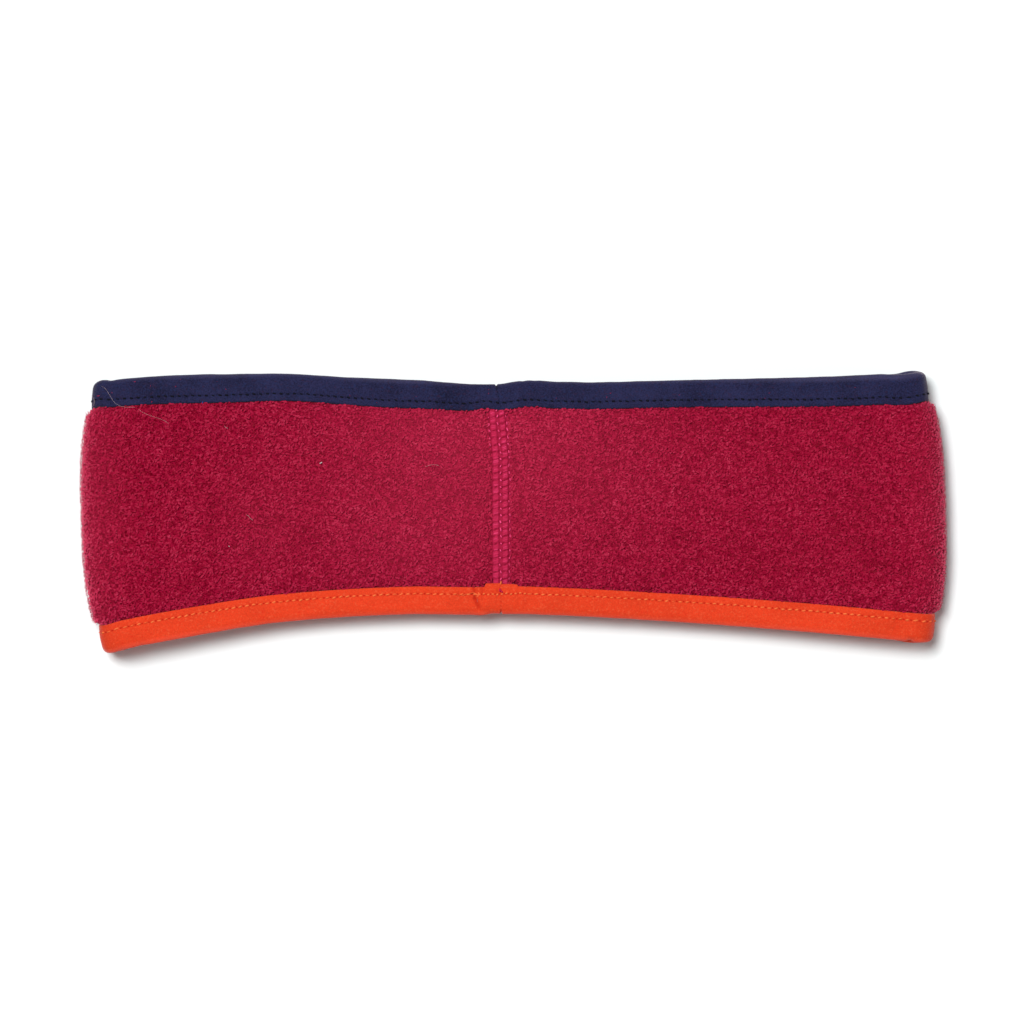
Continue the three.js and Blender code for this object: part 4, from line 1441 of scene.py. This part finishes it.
class HEADBAND_OT_bits(bpy.types.Operator):
    """Lay the loose hairs and bits of thread on the band"""

    bl_idname = "headband.bits"
    bl_label = "Lint and thread bits"

    def hairs(self, loop):
        """The paths and radii of the loose hairs."""
        t = np.linspace(0, 1, 12)
        taper = np.minimum(1.0, 8 * np.minimum(t, 1 - t) + 0.25)
        paths, radii = [], []
        for hair in LINT_HAIRS:
            through = np.array(hair["through"], float)
            knots = np.linspace(0, 1, len(through))
            x, y = (smooth_through(knots, through[:, k], t) for k in range(2))
            rise = loop.half + 0.4 * MM + hair["radius"] * MM
            paths.append(loop.on_upper_run(x, y, rise))
            radii.append(hair["radius"] * MM * taper)
        return np.array(paths), np.array(radii)

    def specks(self, loop, rng):
        """Short fibres of the fleece, caught here and there on the navy tape."""
        rows = []
        for x in rng.uniform(-117, 118, 18):
            top = float(loop.hems(x * MM - loop.shift[0], 0.0, 0.0)[1] + loop.shift[1]) / MM
            rows.append({
                "x": x, "y": top - rng.uniform(1.2, 7.2), "turn": rng.uniform(0, 180),
                "long": rng.uniform(0.2, 0.5), "radius": rng.uniform(0.02, 0.045),
            })
        return rows

    def snippets(self, loop, rng, rows):
        """The paths and radii of short bits of thread, each a little bent."""
        t = np.linspace(-0.5, 0.5, 7)
        paths, radii = [], []
        for row in rows:
            turn = math.radians(row["turn"])
            bend = rng.uniform(-0.2, 0.2) * row["long"] * (1 - 4 * t * t)
            x = row["x"] + t * row["long"] * math.cos(turn) - bend * math.sin(turn)
            y = row["y"] + t * row["long"] * math.sin(turn) + bend * math.cos(turn)
            rise = loop.tape_outer + row["radius"] * (0.7 - 3 * t * t) * MM
            tab = loop.tab("bottom", x * MM - loop.sizes.seam_offset)
            rise = rise + loop.sizes.tab_rise * tab * (row["y"] < 0)
            paths.append(loop.on_upper_run(x, y, rise))
            radii.append(row["radius"] * MM * np.sqrt(1.05 - 4 * t * t))
        return np.array(paths), np.array(radii)

    def lay(self, name, slot, paths, radii, shades, dark, light):
        """One piece of loose threads on the upper run."""
        outward = np.tile([0.0, 0.0, 1.0], (len(paths), 1))
        field = thread_field(name, paths, outward, radii, 6, shades=shades)
        finish_piece(field, name, slot)
        field.data.materials.append(thread_finish(name, dark, light))

    def execute(self, context):
        sizes, colours, loop = panel_and_loop(context)
        rng = np.random.default_rng(sizes.seed + 13)
        lint_shade = rgba(colours.lint, 0.9)[:3]
        self.lay("lint_hairs", "fleece", *self.hairs(loop), None, lint_shade, colours.lint)
        kinds = {
            "orange": ("orange_bits", "bottom_tape", colours.orange, colours.orange_thread),
            "pink": ("pink_bits", "fleece", colours.pink_shade, colours.pink_thread),
            "blue": ("blue_bit", "top_tape", colours.blue_shade, colours.blue_thread),
        }
        for kind, (name, slot, dark, light) in kinds.items():
            rows = [row for row in THREAD_BITS if row["of"] == kind]
            if kind == "pink":
                rows += self.specks(loop, rng)
            paths, radii = self.snippets(loop, rng, rows)
            shades = rng.uniform(0.2, 1, len(paths))
            self.lay(name, slot, paths, radii, shades, dark, light)
        return {"FINISHED"}


class HEADBAND_OT_stage(bpy.types.Operator):
    """Set up the pale floor, the soft light and the camera straight above"""

    bl_idname = "headband.stage"
    bl_label = "Stage"

    def execute(self, context):
        colours = context.scene.headband_colours
        deselect_all()
        bpy.ops.mesh.primitive_plane_add(size=8, location=(0, 0, 0))
        floor = context.object
        floor.name = "floor"
        floor.data.materials.append(floor_finish(colours))

        for row in LAMPS:
            bpy.ops.object.light_add(type="AREA", location=row["place"])
            lamp = context.object
            lamp.name = row["name"]
            lamp.data.size = row["size"]
            lamp.data.energy = row["power"]
            lamp.visible_camera = False
            x, y, z = row["place"]
            lamp.rotation_euler = (math.atan2(math.hypot(x, y), z), 0, math.atan2(x, -y))

        scene = context.scene
        world = bpy.data.worlds.new("soft_room")
        world.use_nodes = True
        background = world.node_tree.nodes["Background"].inputs
        background["Color"].default_value = (1, 1, 1, 1)
        background["Strength"].default_value = ROOM_LIGHT
        scene.world = world
        scene.view_settings.view_transform = "Standard"

        distance = PICTURE / PIXELS_PER_MM * MM * LENS / SENSOR
        bpy.ops.object.camera_add(
            location=(
                (PICTURE / 2 - CENTRE_X) / PIXELS_PER_MM * MM,
                (CENTRE_Y - PICTURE / 2) / PIXELS_PER_MM * MM,
                distance + 10 * MM,
            ),
            rotation=(0, 0, 0),
        )
        camera = context.object
        camera.name = "camera"
        camera.data.lens = LENS
        camera.data.sensor_width = SENSOR
        scene.camera = camera
        return {"FINISHED"}


class HEADBAND_PT_panel(bpy.types.Panel):
    """The headband's pieces, one button each."""

    bl_idname = "HEADBAND_PT_panel"
    bl_label = "Ear Warmer Headband"
    bl_space_type = "VIEW_3D"
    bl_region_type = "UI"
    bl_category = "Headband"

    def draw(self, context):
        for operator in OPERATORS:
            self.layout.operator(operator.bl_idname)


OPERATORS = (
    HEADBAND_OT_stage,
    HEADBAND_OT_fleece,
    HEADBAND_OT_pile,
    HEADBAND_OT_fuzz,
    HEADBAND_OT_tapes,
    HEADBAND_OT_stitches,
    HEADBAND_OT_seam,
    HEADBAND_OT_bits,
)
CLASSES = (HeadbandSizes, HeadbandColours, *OPERATORS, HEADBAND_PT_panel)


def register():
    """Adds the sizes, the colours, the operators and the panel to Blender."""
    for cls in CLASSES:
        bpy.utils.register_class(cls)
    bpy.types.Scene.headband_sizes = PointerProperty(type=HeadbandSizes)
    bpy.types.Scene.headband_colours = PointerProperty(type=HeadbandColours)


def unregister():
    """Takes them out again."""
    del bpy.types.Scene.headband_colours
    del bpy.types.Scene.headband_sizes
    for cls in reversed(CLASSES):
        bpy.utils.unregister_class(cls)


def declare_cloth():
    """Works out the flat size of the band's sheet of fleece and the area cut from it, and uses
    neither.
    """
    sizes, _, loop = panel_and_loop(bpy.context)
    flat = (sizes.height_at_folds, loop.half_loop["left"] + loop.half_loop["right"])
    CUT_SHARE * flat[0] * flat[1]


def main():
    """Models the headband, piece by piece."""
    register()
    bpy.ops.headband.stage()
    bpy.ops.headband.fleece()
    bpy.ops.headband.pile()
    bpy.ops.headband.fuzz()
    bpy.ops.headband.tapes()
    bpy.ops.headband.stitches()
    bpy.ops.headband.seam()
    bpy.ops.headband.bits()
    declare_cloth()


if __name__ == "__main__":
    main()
